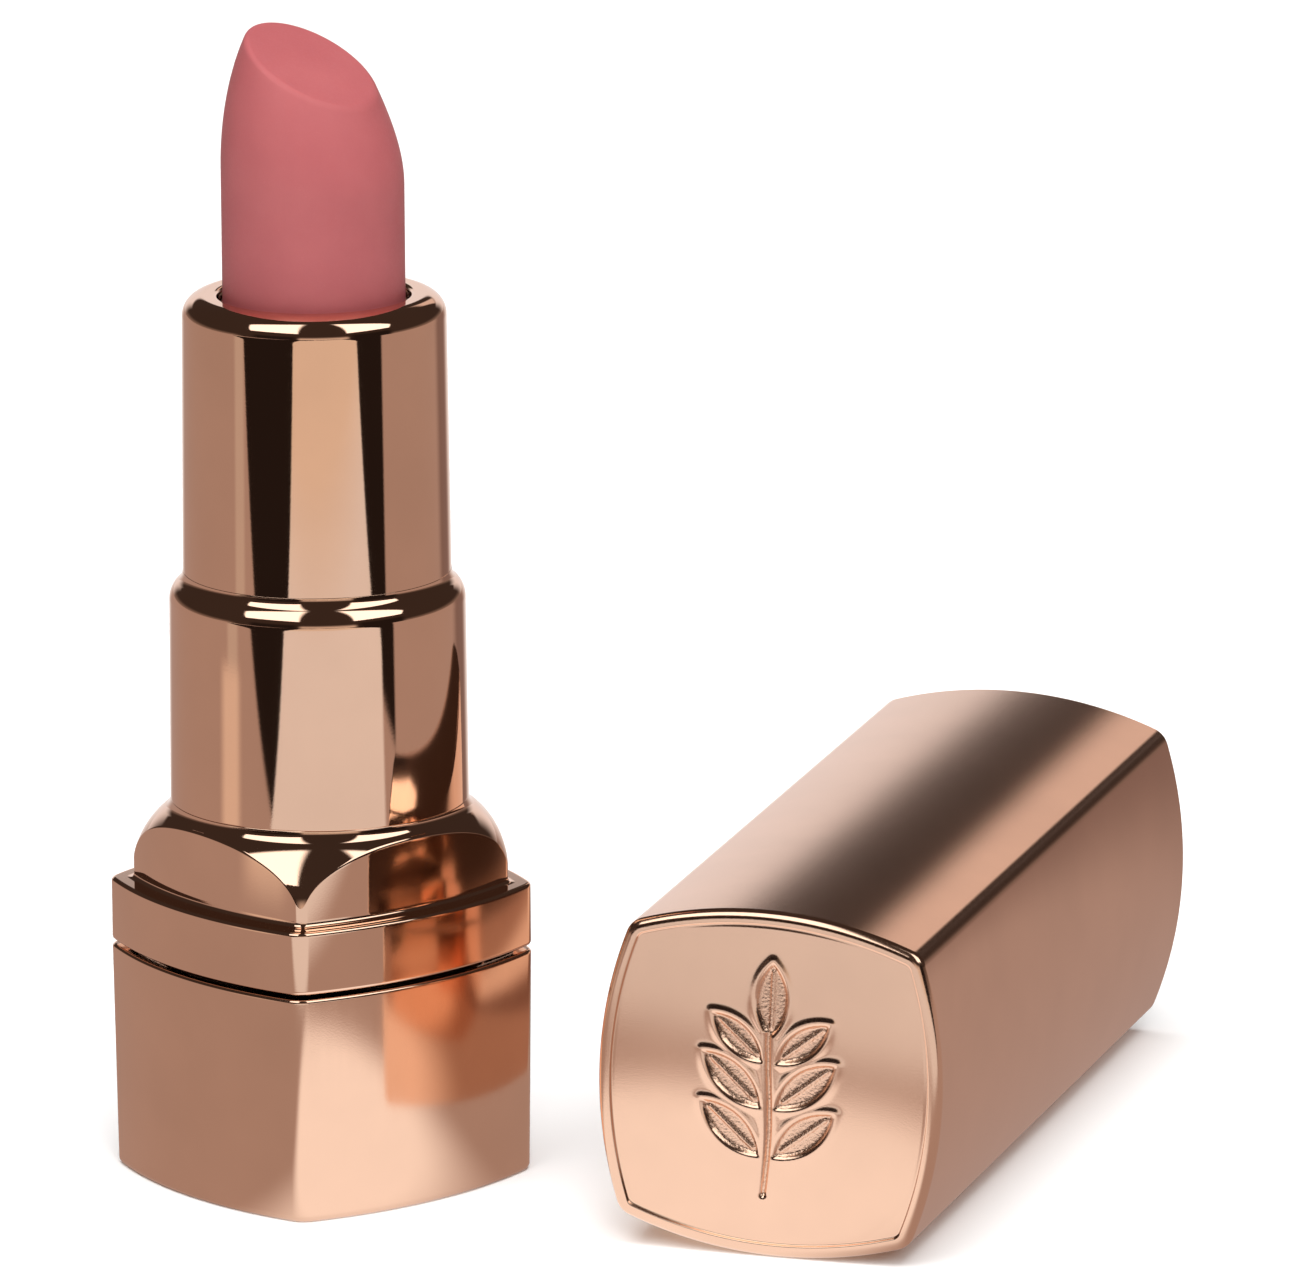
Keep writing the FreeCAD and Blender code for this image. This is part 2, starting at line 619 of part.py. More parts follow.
def cap_weight_pad():
    return cylinder(CAP_PAD_RADIUS, CAP_WEIGHT_TOP, CAP_WEIGHT_TOP + PAD_THICKNESS)


def cap_weight():
    return square_prism(
        CAP_WEIGHT_BOTTOM, CAP_WEIGHT_TOP, CAP_WALL + CAP_WEIGHT_GAP,
        scale_bottom=cap_scale(CAP_WEIGHT_BOTTOM), scale_top=cap_scale(CAP_WEIGHT_TOP),
    )


def cap_placement():
    """Lays the cap on one bowed side, mouth towards +Y, so that its whole lowest line touches the ground."""
    roll = math.radians(CAP_ROLL)
    drop = SIDE_RADIUS - SIDE_CENTRE * math.cos(roll)     # axis height at the mouth
    end_drop = drop * CAP_END_SCALE
    pitch = math.degrees(math.asin((drop - end_drop) / CAP_LENGTH))
    # The cap's +Z, towards its closed end, turns to -X.  Roll and pitch follow, and a turn of -X to -Y.
    lay = Rotation(Vector(0, 1, 0), -90)
    roll_turn = Rotation(Vector(1, 0, 0), -CAP_ROLL)
    pitch_turn = Rotation(Vector(0, 1, 0), -pitch)
    along_y = Rotation(Vector(0, 0, 1), 90)
    turn = along_y * pitch_turn * roll_turn * lay
    end_now = turn.multVec(Vector(0, 0, CAP_LENGTH))
    shift = Vector(CAP_X, CAP_Y, end_drop) - end_now
    return Placement(shift, turn)


# ---------------------------------------------------------------- export

STANDING = {
    "base_cup": base_cup,
    "shade_label": shade_label,
    "base_weight_pad": base_weight_pad,
    "base_weight": base_weight,
    "base_insert": base_insert,
    "guide_tube": guide_tube,
    "collar": collar,
    "lower_sleeve": lower_sleeve,
    "tube_shell": tube_shell,
    "spiral_sleeve": spiral_sleeve,
    "retaining_ring": retaining_ring,
    "thrust_washer": thrust_washer,
    "brake_ring": brake_ring,
    "carrier_cup": carrier_cup,
    "lipstick_bullet": lipstick_bullet,
}
LYING = {
    "cap_shell": cap_shell,
    "cap_liner": cap_liner,
    "cap_weight": cap_weight,
    "cap_weight_pad": cap_weight_pad,
}


def build():
    case_placement = Placement(Vector(0, 0, 0), Rotation(Vector(0, 0, 1), CASE_TURN))
    shapes = {}
    for parts, placement in ((STANDING, case_placement), (LYING, cap_placement())):
        for name, make in parts.items():
            shape = make()
            shape.Placement = placement.multiply(shape.Placement)
            shapes[name] = shape
    return shapes


def main():
    os.makedirs("parts", exist_ok=True)
    for name, shape in build().items():
        bounds = shape.BoundBox
        print(
            f"{name:16s} valid {shape.isValid()} solids {len(shape.Solids)} volume {shape.Volume:9.2f} "
            f"z {bounds.ZMin:6.2f} to {bounds.ZMax:6.2f}"
        )
        shape.exportStep(f"parts/{name}.step")


if __name__ == "__main__":
    main()
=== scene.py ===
"""Looks of the swivel lipstick case that stands beside its cap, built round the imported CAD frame.

Lengths are millimetres until a piece is made, where they turn into metres.  The case's metal shells, the
stick and the cap are rebuilt here as dense quad skins, because polished metal shows every facet; the inner
pieces keep their CAD solids and get their own materials.
"""

import math

import bmesh
import bpy
import numpy as np
from mathutils import Matrix, Vector


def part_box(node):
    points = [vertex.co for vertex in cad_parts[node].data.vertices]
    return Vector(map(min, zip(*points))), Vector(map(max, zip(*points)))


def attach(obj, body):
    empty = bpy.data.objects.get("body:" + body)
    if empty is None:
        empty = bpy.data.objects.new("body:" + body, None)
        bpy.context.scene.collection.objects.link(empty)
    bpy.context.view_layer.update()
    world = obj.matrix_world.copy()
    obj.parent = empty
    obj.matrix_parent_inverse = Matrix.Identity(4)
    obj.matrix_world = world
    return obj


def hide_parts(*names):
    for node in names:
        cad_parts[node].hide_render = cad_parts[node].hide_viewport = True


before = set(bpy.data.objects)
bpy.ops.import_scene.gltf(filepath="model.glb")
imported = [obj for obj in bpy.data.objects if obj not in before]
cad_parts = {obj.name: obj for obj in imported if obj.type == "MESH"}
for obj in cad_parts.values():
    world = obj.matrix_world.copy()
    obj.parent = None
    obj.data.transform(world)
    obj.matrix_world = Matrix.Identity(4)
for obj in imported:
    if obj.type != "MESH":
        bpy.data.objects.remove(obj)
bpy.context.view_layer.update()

MM = 0.001

# ---- the bow-sided square section that base, collar and cap share ----
CORNER_REACH = 14.18
FACE_REACH = 11.84
CORNER_RADIUS = 1.55
MIN_CORNER = 0.3
HALF_CHORD = CORNER_REACH / math.sqrt(2)
SAGITTA = FACE_REACH - HALF_CHORD
SIDE_RADIUS = (HALF_CHORD ** 2 + SAGITTA ** 2) / (2 * SAGITTA)
SIDE_CENTRE = SIDE_RADIUS - FACE_REACH

# ---- case ----
CASE_TURN = math.radians(-32.1)
FOOT_SCALE = 0.985
FOOT_EDGE = 0.45
RIM_EDGE = 0.25
BASE_WALL = 1.0
BASE_FLOOR = 1.2
FOOT_FLAT = 0.9           # width of the ring the case stands on that is finely meshed
LABEL_RECESS = 7.05
LABEL_DEPTH = 0.12
LABEL_RIM = 0.2
LEDGE_TOP = 19.8
FOOT_INSET = 1.4
FOOT_COVE = 0.30
SHOULDER_CORNER = 1.0
DOME_R, DOME_Z, DOME_RADIUS = 6.98, 20.38, 5.58
DOME_CREASE = 0.32
NECK_FILLET = 1.0         # hollow root where the dome runs up into the tube
LEDGE_MARGIN = 0.1        # the ledge's flat ends this far before the hollow at the wall's foot
COLLAR_BAND = 1.2
RECESS_RADIUS, RECESS_TOP = 10.35, 16.30
POCKET_RADIUS = 10.95
COLLAR_BORE = 9.34
LOWER_BOTTOM_R, LOWER_TOP_R = 9.92, 9.82
STEP_START = 39.15        # the step up to the narrower tube: a round shoulder, then a hollow root
STEP_SHOULDER, STEP_ROOT = 1.6, 1.0
UPPER_BOTTOM_R, UPPER_TOP_R = 8.90, 8.73
UPPER_SHOULDER = 1.45
STEP_BORE = 8.905
SPIGOT_RADIUS = 9.31
TUBE_BORE = 8.20
MOUTH_RADIUS, MOUTH_EDGE, LIP_THICKNESS = 6.35, 0.3, 1.15

# ---- stick ----
STICK_RADIUS = 6.03
STICK_FOOT = 5.68         # radius where the cup's ribs hold it
STICK_FOOT_TOP = 57.4
STICK_CHAMFER = 0.4
NOSE_BLEND = 4.0          # the plain cylinder starts to tilt this far below the nose
NOSE_START, NOSE_SLOPE = 67.6, 0.14
FACET_Z, FACET_SLOPE, FACET_RADIUS = 75.0, 0.55, 4.42
FACET_EDGE = 0.55
FACET_LEAN = math.radians(24)    # slope of the side where it meets the facet's round edge
FACET_TURN = math.radians(11.6) + CASE_TURN

# ---- cap, upright on its mouth in its own frame ----
CAP_LENGTH = 60.4
CAP_WALL = 0.65
CAP_END = 1.40
CAP_END_SCALE = 0.983
CAP_EDGE = 0.60
CAP_RIM = 0.30            # flat of the rim round the closed end
CAP_STEP = 0.20           # the end face lies this far below the rim
STEP_ROUND = 0.1
CAP_CROWN = 0.16
MOUTH_ROUND = 0.2
CAP_X, CAP_Y = 34.81, -12.33
CAP_ROLL = math.radians(-2.6)

# ---- sprig sunk into the cap's closed end ----
SPRIG_DEPTH = 0.30
SPRIG_SLOPE = 0.34        # width over which its walls fall
LIP_HEIGHT, LIP_AT, LIP_WIDTH = 0.07, 0.12, 0.26
MIDRIB_HEIGHT, MIDRIB_WIDTH, MIDRIB_SHARE = 0.17, 0.13, 0.72
STEM_MIDDLE, STEM_HALF, STEM_RADIUS, STEM_SWAY = -2.0, 5.4, 0.30, 0.15
TIP_LEAF = (0.0, 3.1, 5.2, 2.3, 90.0)
LEAF_PAIRS = ((-4.9, 5.4), (-1.6, 5.4), (1.5, 4.7))    # stalk height and length
LEAF_SLENDERNESS = 0.42   # width over length
LEAF_SPREAD = 50.0        # degrees from the stem
LEAF_OFFSET = 0.4         # stalk end from the stem's middle

# ---- mesh density ----
SIDE_STEPS = 130
CORNER_STEPS = 40         # even, because each ring starts in the middle of a corner
ROUND_STEPS = 256
FACE_HALF = 8.4           # half the side of the fine square grid on the cap's closed end
FACE_BLEND_STEPS = 21     # rings from the cap's rim in to that square
GUARD = 0.06              # loop beside an edge that keeps the shading of a flat run flat
GUARD_SHARE = 0.3         # and its greatest share of a short run
POLE_RING = 0.1           # first ring round a pole
END_FLAT = 4.0            # flat of an inner end before it closes on its middle
SAME_POINT = 1e-5


# ---------------------------------------------------------------- rings and skins

def section(z, inset=0.0, scale=1.0, corner=None):
    """A ring of the bow-sided square, from the middle of the corner at -45 degrees."""
    side = SIDE_RADIUS - inset
    corner = max(CORNER_RADIUS - inset, MIN_CORNER) if corner is None else corner
    reach = side - corner
    q = (-SIDE_CENTRE + math.sqrt(2 * reach ** 2 - SIDE_CENTRE ** 2)) / 2
    tangent = math.atan2(q, q + SIDE_CENTRE)
    low = np.linspace(-math.pi / 4, -tangent, CORNER_STEPS // 2 + 1)[:-1]
    bow = np.linspace(-tangent, tangent, SIDE_STEPS + 1)[:-1]
    high = np.linspace(tangent, math.pi / 4, CORNER_STEPS // 2 + 1)[:-1]
    x = [q + corner * np.cos(low), side * np.cos(bow) - SIDE_CENTRE, q + corner * np.cos(high)]
    y = [-q + corner * np.sin(low), side * np.sin(bow), q + corner * np.sin(high)]
    x, y = np.concatenate(x), np.concatenate(y)
    quarters = [(x, y), (-y, x), (-x, -y), (y, -x)]
    ring = np.zeros((4 * len(x), 3))
    ring[:, 0] = np.concatenate([a for a, b in quarters]) * scale
    ring[:, 1] = np.concatenate([b for a, b in quarters]) * scale
    ring[:, 2] = z
    return ring


def smooth(x):
    """0 to 1 with level ends, for x from 0 to 1."""
    x = np.clip(x, 0, 1)
    return x * x * (3 - 2 * x)


SECTION_ANGLES = np.arctan2(section(0)[:, 1], section(0)[:, 0])
ROUND_ANGLES = np.linspace(0, 2 * math.pi, ROUND_STEPS, endpoint=False)


def circle(z, radius, angles=ROUND_ANGLES):
    height = np.full(len(angles), float(z))
    return np.column_stack([radius * np.cos(angles), radius * np.sin(angles), height])


def arc(centre_r, centre_z, radius, start, end, steps=12):
    """(r, z) points of an arc, angles in degrees."""
    a = np.radians(np.linspace(start, end, steps + 1))
    return [(centre_r + radius * math.cos(t), centre_z + radius * math.sin(t)) for t in a]


def line(start, end, steps=1):
    """(r, z) points of a straight run with a guard loop near each end, so that shading stays flat."""
    start, end = np.array(start, float), np.array(end, float)
    near = min(GUARD / max(np.linalg.norm(end - start), SAME_POINT), GUARD_SHARE)
    shares = np.concatenate([[0], np.linspace(near, 1 - near, steps + 1), [1]])
    return [tuple(start + (end - start) * s) for s in shares]


def joined(*runs):
    """Runs of (r, z) points end to end, without repeated points."""
    points = []
    for run in runs:
        for p in run:
            if not points or math.dist(points[-1], p) > SAME_POINT:
                points.append(p)
    return points


def skin(rings, start_pole=None, end_pole=None, closed=False):
    """Points and faces between rings of equal count, with poles or joined end to start."""
    count = len(rings[0])
    points = [tuple(p) for ring in rings for p in ring]
    faces = []
    for r in range(len(rings) - (0 if closed else 1)):
        a, b = r * count, (r + 1) % len(rings) * count
        for i in range(count):
            j = (i + 1) % count
            faces.append((a + i, a + j, b + j, b + i))
    for pole, base in ((start_pole, 0), (end_pole, (len(rings) - 1) * count)):
        if pole is not None:
            points.append(tuple(pole))
            tip = len(points) - 1
            faces += [(base + i, base + (i + 1) % count, tip) for i in range(count)]
    return points, faces


def mesh_piece(name, points, faces, place, body, replaced, material):
    """A smooth mesh at its place in the frame, riding on its body and standing for a CAD node."""
    mesh = bpy.data.meshes.new(name)
    mesh.from_pydata([tuple(v * MM for v in p) for p in points], [], faces)
    bm = bmesh.new()
    bm.from_mesh(mesh)
    bmesh.ops.recalc_face_normals(bm, faces=bm.faces)
    bm.to_mesh(mesh)
    bm.free()
    mesh.transform(place)
    mesh.shade_smooth()
    mesh.materials.append(material)
    obj = bpy.data.objects.new(name, mesh)
    bpy.context.scene.collection.objects.link(obj)
    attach(obj, body)
    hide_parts(replaced)
    return obj


CASE_PLACE = Matrix.Rotation(CASE_TURN, 4, "Z")


def cap_place():
    """The cap laid on one bowed side, mouth towards +Y, its lowest line on the ground."""
    drop = SIDE_RADIUS - SIDE_CENTRE * math.cos(CAP_ROLL)
    end_drop = drop * CAP_END_SCALE
    pitch = math.asin((drop - end_drop) / CAP_LENGTH)
    turn = (
        Matrix.Rotation(math.pi / 2, 4, "Z") @ Matrix.Rotation(-pitch, 4, "Y")
        @ Matrix.Rotation(-CAP_ROLL, 4, "X") @ Matrix.Rotation(-math.pi / 2, 4, "Y")
    )
    shift = Vector((CAP_X, CAP_Y, end_drop)) - turn @ Vector((0, 0, CAP_LENGTH))
    return Matrix.Translation(shift * MM) @ turn


# ---------------------------------------------------------------- case shells

def base_cup(material):
    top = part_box("base_cup")[1].z / MM
    outline = joined(
        line((FOOT_FLAT + FOOT_EDGE, 0), (FOOT_EDGE, 0)),
        arc(FOOT_EDGE, FOOT_EDGE, -FOOT_EDGE, 90, 0),
        line((0, FOOT_EDGE), (0, top - RIM_EDGE), 4),
        arc(RIM_EDGE, top - RIM_EDGE, -RIM_EDGE, 0, -90),
        line((RIM_EDGE, top), (BASE_WALL, top)),
        line((BASE_WALL, top), (BASE_WALL, BASE_FLOOR), 2),
        line((BASE_WALL, BASE_FLOOR), (BASE_WALL + END_FLAT, BASE_FLOOR)),
    )
    rings = [circle(z, r, SECTION_ANGLES) for r, z in (
        (POLE_RING, LABEL_DEPTH), (LABEL_RECESS, LABEL_DEPTH),
        (LABEL_RECESS, 0), (LABEL_RECESS + LABEL_RIM, 0),
    )]
    rings += [section(z, inset, FOOT_SCALE + (1 - FOOT_SCALE) * z / top) for inset, z in outline]
    points, faces = skin(rings, (0, 0, LABEL_DEPTH), (0, 0, BASE_FLOOR))
    return mesh_piece(
        "base_cup_skin", points, faces, CASE_PLACE, "base", "base_cup", material
    )


def neck_top():
    """Height where the hollow root of the dome's neck meets the tube's wall."""
    across = LOWER_BOTTOM_R + NECK_FILLET - DOME_R
    return DOME_Z + math.sqrt((DOME_RADIUS + NECK_FILLET) ** 2 - across ** 2)


def shoulder_rings():
    """The domed shoulder on its square foot: a hollow at the ledge, the wall, a rounded crease that follows
    the arch, the dome and the hollow root of its neck."""
    foot = section(0, FOOT_INSET, corner=SHOULDER_CORNER)
    reach = np.hypot(foot[:, 0], foot[:, 1])
    along = foot[:, :2] / reach[:, None]
    crease_r = reach - DOME_CREASE
    crease_z = DOME_Z + np.sqrt((DOME_RADIUS - DOME_CREASE) ** 2 - (crease_r - DOME_R) ** 2)
    neck_turn = math.atan2(neck_top() - DOME_Z, LOWER_BOTTOM_R + NECK_FILLET - DOME_R)
    turn = np.minimum(np.arctan2(crease_z - DOME_Z, crease_r - DOME_R), neck_turn)
    wall_bottom = LEDGE_TOP + FOOT_COVE
    rings = []
    for a in np.linspace(0, math.pi / 2, 7):
        height = np.full(len(reach), LEDGE_TOP + FOOT_COVE * (1 - math.cos(a)))
        rings.append((reach + FOOT_COVE * (1 - math.sin(a)), height))
    for share in np.concatenate([[0.04], np.linspace(0.15, 0.9, 8), [0.97]]):
        rings.append((reach, wall_bottom + (crease_z - wall_bottom) * share))
    for share in np.linspace(0, 1, 9):
        a = turn * share
        rings.append((crease_r + DOME_CREASE * np.cos(a), crease_z + DOME_CREASE * np.sin(a)))
    for share in np.concatenate([[0.02], np.linspace(0.08, 1, 24)]):
        a = turn + (neck_turn - turn) * share
        rings.append((DOME_R + DOME_RADIUS * np.cos(a), DOME_Z + DOME_RADIUS * np.sin(a)))
    for a in np.linspace(neck_turn, 0, 20)[1:]:
        r = np.full(len(reach), LOWER_BOTTOM_R + NECK_FILLET * (1 - math.cos(a)))
        rings.append((r, np.full(len(reach), neck_top() - NECK_FILLET * math.sin(a))))
    return [np.column_stack([along * r[:, None], z]) for r, z in rings]


def collar(material):
    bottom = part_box("collar")[0].z / MM
    seat = neck_top()
    outline = joined(
        line((COLLAR_BAND, bottom), (RIM_EDGE, bottom)),
        arc(RIM_EDGE, bottom + RIM_EDGE, -RIM_EDGE, 90, 0),
        line((0, bottom + RIM_EDGE), (0, LEDGE_TOP - RIM_EDGE), 3),
        arc(RIM_EDGE, LEDGE_TOP - RIM_EDGE, -RIM_EDGE, 0, -90),
        line((RIM_EDGE, LEDGE_TOP), (FOOT_INSET - FOOT_COVE - LEDGE_MARGIN, LEDGE_TOP)),
    )
    pocket_top = LEDGE_TOP - COLLAR_BAND
    rings = [section(pocket_top, COLLAR_BAND)]
    rings += [section(z, inset) for inset, z in outline]
    rings += shoulder_rings()
    rings += [circle(z, r, SECTION_ANGLES) for r, z in (
        (COLLAR_BORE, seat), (COLLAR_BORE, RECESS_TOP), (RECESS_RADIUS, RECESS_TOP),
        (RECESS_RADIUS, bottom), (POCKET_RADIUS, bottom), (POCKET_RADIUS, pocket_top),
    )]
    points, faces = skin(rings, closed=True)
    return mesh_piece(
        "collar_skin", points, faces, CASE_PLACE, "upper_case", "collar", material
    )


def lower_sleeve(material):
    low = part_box("lower_sleeve")[0].z / MM
    seat = neck_top()
    slope = math.acos(1 - (LOWER_TOP_R - STEP_BORE) / (STEP_SHOULDER + STEP_ROOT))
    top = STEP_START + (STEP_SHOULDER + STEP_ROOT) * math.sin(slope)
    steepest = math.degrees(slope)
    outline = joined(
        line((STEP_BORE, low), (SPIGOT_RADIUS, low)),
        line((SPIGOT_RADIUS, low), (SPIGOT_RADIUS, seat)),
        line((SPIGOT_RADIUS, seat), (LOWER_BOTTOM_R, seat)),
        line((LOWER_BOTTOM_R, seat), (LOWER_TOP_R, STEP_START), 6),
        arc(LOWER_TOP_R - STEP_SHOULDER, STEP_START, STEP_SHOULDER, 0, steepest, 24),
        arc(STEP_BORE + STEP_ROOT, top, -STEP_ROOT, steepest, 0, 24),
        line((STEP_BORE, top), (STEP_BORE, low), 2),
    )
    points, faces = skin([circle(z, r) for r, z in outline[:-1]], closed=True)
    return mesh_piece(
        "lower_sleeve_skin", points, faces, CASE_PLACE, "upper_case", "lower_sleeve",
        material,
    )


def tube_shell(material):
    low, top = (corner.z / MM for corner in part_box("tube_shell"))
    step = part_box("lower_sleeve")[1].z / MM
    lip = MOUTH_RADIUS + MOUTH_EDGE
    outline = joined(
        line((TUBE_BORE, low), (UPPER_BOTTOM_R, low)),
        line((UPPER_BOTTOM_R, low), (UPPER_BOTTOM_R, step)),
        line((UPPER_BOTTOM_R, step), (UPPER_TOP_R, top - UPPER_SHOULDER), 6),
        arc(UPPER_TOP_R - UPPER_SHOULDER, top - UPPER_SHOULDER, UPPER_SHOULDER, 0, 90, 32),
        line((UPPER_TOP_R - UPPER_SHOULDER, top), (lip, top)),
        arc(lip, top - MOUTH_EDGE, MOUTH_EDGE, 90, 180),
        line((MOUTH_RADIUS, top - MOUTH_EDGE), (MOUTH_RADIUS, top - LIP_THICKNESS)),
        line((MOUTH_RADIUS, top - LIP_THICKNESS), (TUBE_BORE, top - LIP_THICKNESS)),
        line((TUBE_BORE, top - LIP_THICKNESS), (TUBE_BORE, low), 2),
    )
    points, faces = skin([circle(z, r) for r, z in outline[:-1]], closed=True)
    return mesh_piece(
        "tube_shell_skin", points, faces, CASE_PLACE, "upper_case", "tube_shell",
        material,
    )


# ---------------------------------------------------------------- stick

def tilted(radius, z, slope):
    """A ring whose plan is a circle, on a plane that falls towards +X."""
    ring = circle(0, radius)
    ring[:, 2] = z - slope * ring[:, 0]
    return ring


def lipstick(material):
    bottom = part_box("lipstick_bullet")[0].z / MM
    rings = [circle(z, r) for r, z in joined(
        line((5 * POLE_RING, bottom), (STICK_FOOT, bottom)),
        line((STICK_FOOT, bottom), (STICK_FOOT, STICK_FOOT_TOP)),
        line((STICK_FOOT, STICK_FOOT_TOP), (STICK_RADIUS, STICK_FOOT_TOP + STICK_CHAMFER)),
        line((STICK_RADIUS, STICK_FOOT_TOP + STICK_CHAMFER), (STICK_RADIUS, NOSE_START - NOSE_BLEND), 3),
    )]
    centre = FACET_RADIUS - FACET_EDGE * math.cos(FACET_LEAN)
    wall_top = FACET_Z - FACET_EDGE * (1 - math.sin(FACET_LEAN))
    for share in np.linspace(0.1, 0.9, 9):
        height = NOSE_START - NOSE_BLEND * (1 - share)
        rings.append(tilted(STICK_RADIUS, height, NOSE_SLOPE * smooth(share)))
    for t in np.linspace(0, 1, 40):
        rings.append(tilted(
            STICK_RADIUS - (STICK_RADIUS - FACET_RADIUS) * t ** 2,
            NOSE_START + (wall_top - NOSE_START) * t,
            NOSE_SLOPE + (FACET_SLOPE - NOSE_SLOPE) * t,
        ))
    for a in np.linspace(FACET_LEAN, math.pi / 2, 11)[1:]:
        rings.append(tilted(
            centre + FACET_EDGE * math.cos(a), FACET_Z - FACET_EDGE * (1 - math.sin(a)), FACET_SLOPE
        ))
    for share in np.concatenate([[0.03], np.linspace(0.1, 0.95, 14)]):
        rings.append(tilted(centre * (1 - share), FACET_Z, FACET_SLOPE))
    points, faces = skin(rings, (0, 0, bottom), (0, 0, FACET_Z))
    place = Matrix.Rotation(FACET_TURN, 4, "Z")
    return mesh_piece("lipstick_skin", points, faces, place, "carrier", "lipstick_bullet", material)


# ---------------------------------------------------------------- cap

def sprig_leaves():
    """Stalk end, length, width and heading of each leaf, headings in degrees from the sprig's right."""
    leaves = [TIP_LEAF]
    for level, length in LEAF_PAIRS:
        for side in (1, -1):
            width = length * LEAF_SLENDERNESS
            leaves.append((side * LEAF_OFFSET, level, length, width, 90 - side * LEAF_SPREAD))
    return leaves


def leaf_distance(x, y, leaf):
    """Signed distance to a pointed leaf, and distance to its midrib, at arrays of points."""
    stalk_x, stalk_y, length, width, heading = leaf
    a = math.radians(heading)
    u = (x - stalk_x) * math.cos(a) + (y - stalk_y) * math.sin(a)
    v = -(x - stalk_x) * math.sin(a) + (y - stalk_y) * math.cos(a)
    half = length / 2
    px, py = np.abs(v), np.abs(u - half)
    radius = (half ** 2 + (width / 2) ** 2) / width
    offset = radius - width / 2
    beyond_tip = (py - half) * offset > px * half
    signed = np.where(beyond_tip, np.hypot(px, py - half), np.hypot(px + offset, py) - radius)
    rib = np.hypot(v, np.maximum(np.abs(u - half) - half * MIDRIB_SHARE, 0))
    return signed, rib


def sprig_height(x, y):
    """Height of the sunk sprig and how deep in it a point lies (0 to 1), x to the right and y up."""
    sideways = x + STEM_SWAY * np.sin(y / 2)
    past_end = np.maximum(np.abs(y - STEM_MIDDLE) - STEM_HALF, 0)
    distance = np.hypot(sideways, past_end) - STEM_RADIUS
    rib = np.full(x.shape, FACE_HALF)
    for leaf in sprig_leaves():
        signed, midrib = leaf_distance(x, y, leaf)
        distance = np.minimum(distance, signed)
        rib = np.where(signed < 0, np.minimum(rib, midrib), rib)
    inside = smooth(-distance / SPRIG_SLOPE)
    lip = LIP_HEIGHT * np.exp(-((distance - LIP_AT) / LIP_WIDTH) ** 2)
    midrib = MIDRIB_HEIGHT * np.exp(-(rib / MIDRIB_WIDTH) ** 2) * inside
    return lip - SPRIG_DEPTH * inside + midrib, inside


def cap_scale(z):
    return 1 + (CAP_END_SCALE - 1) * z / CAP_LENGTH


def cap_rings():
    """Rings from the inner end, over the mouth, up the side and over the rim to the edge of the end face."""
    inner_end = CAP_LENGTH - CAP_END
    step_inset = CAP_EDGE + CAP_RIM
    outline = joined(
        line((CAP_WALL + END_FLAT, inner_end), (CAP_WALL, inner_end)),
        line((CAP_WALL, inner_end), (CAP_WALL, MOUTH_ROUND), 3),
        arc(CAP_WALL - MOUTH_ROUND, MOUTH_ROUND, MOUTH_ROUND, 0, -90, 6),
        arc(MOUTH_ROUND, MOUTH_ROUND, -MOUTH_ROUND, 90, 0, 6),
        line((0, MOUTH_ROUND), (0, CAP_LENGTH - CAP_EDGE), 8),
        arc(CAP_EDGE, CAP_LENGTH - CAP_EDGE, -CAP_EDGE, 0, -90, 12),
        line((CAP_EDGE, CAP_LENGTH), (step_inset - STEP_ROUND, CAP_LENGTH)),
        arc(step_inset - STEP_ROUND, CAP_LENGTH - STEP_ROUND, -STEP_ROUND, -90, -180, 5),
        arc(step_inset + STEP_ROUND, CAP_LENGTH - STEP_ROUND, STEP_ROUND, 180, 270, 5),
    )
    return [section(z, inset, cap_scale(z)) for inset, z in outline]


def end_face(edge_ring):
    """Flat points of the end face in from its edge ring, and their faces, counted from that ring's first
    point: rings that turn the bowed outline into a square, then a fine square grid."""
    count = len(edge_ring)
    cells = count // 4
    ticks = np.linspace(-FACE_HALF, FACE_HALF, cells + 1)
    side = np.column_stack([np.full(cells, FACE_HALF), ticks[:-1]])
    turned = np.column_stack([-side[:, 1], side[:, 0]])
    square = np.vstack([side, turned, -side, -turned])
    shares = np.linspace(0, 1, FACE_BLEND_STEPS + 1)[1:]
    blend = [edge_ring[:, :2] + (square - edge_ring[:, :2]) * share for share in shares]
    inner = np.array([(x, y) for x in ticks[1:-1] for y in ticks[1:-1]])
    faces = []
    for r in range(len(blend)):
        a, b = r * count, (r + 1) * count
        for i in range(count):
            j = (i + 1) % count
            faces.append((a + i, a + j, b + j, b + i))
    ring_start = len(blend) * count
    inner_start = ring_start + count

    def grid_index(i, j):
        """Point at column i along X and row j along Y of the fine square."""
        if i == cells:
            return ring_start + j
        if j == cells:
            return ring_start + cells + (cells - i)
        if i == 0:
            return ring_start + 2 * cells + (cells - j)
        if j == 0:
            return ring_start + 3 * cells + i
        return inner_start + (i - 1) * (cells - 1) + (j - 1)

    for i in range(cells):
        for j in range(cells):
            corners = ((i, j), (i + 1, j), (i + 1, j + 1), (i, j + 1))
            faces.append(tuple(grid_index(*corner) for corner in corners))
    return np.vstack(blend + [inner]), faces


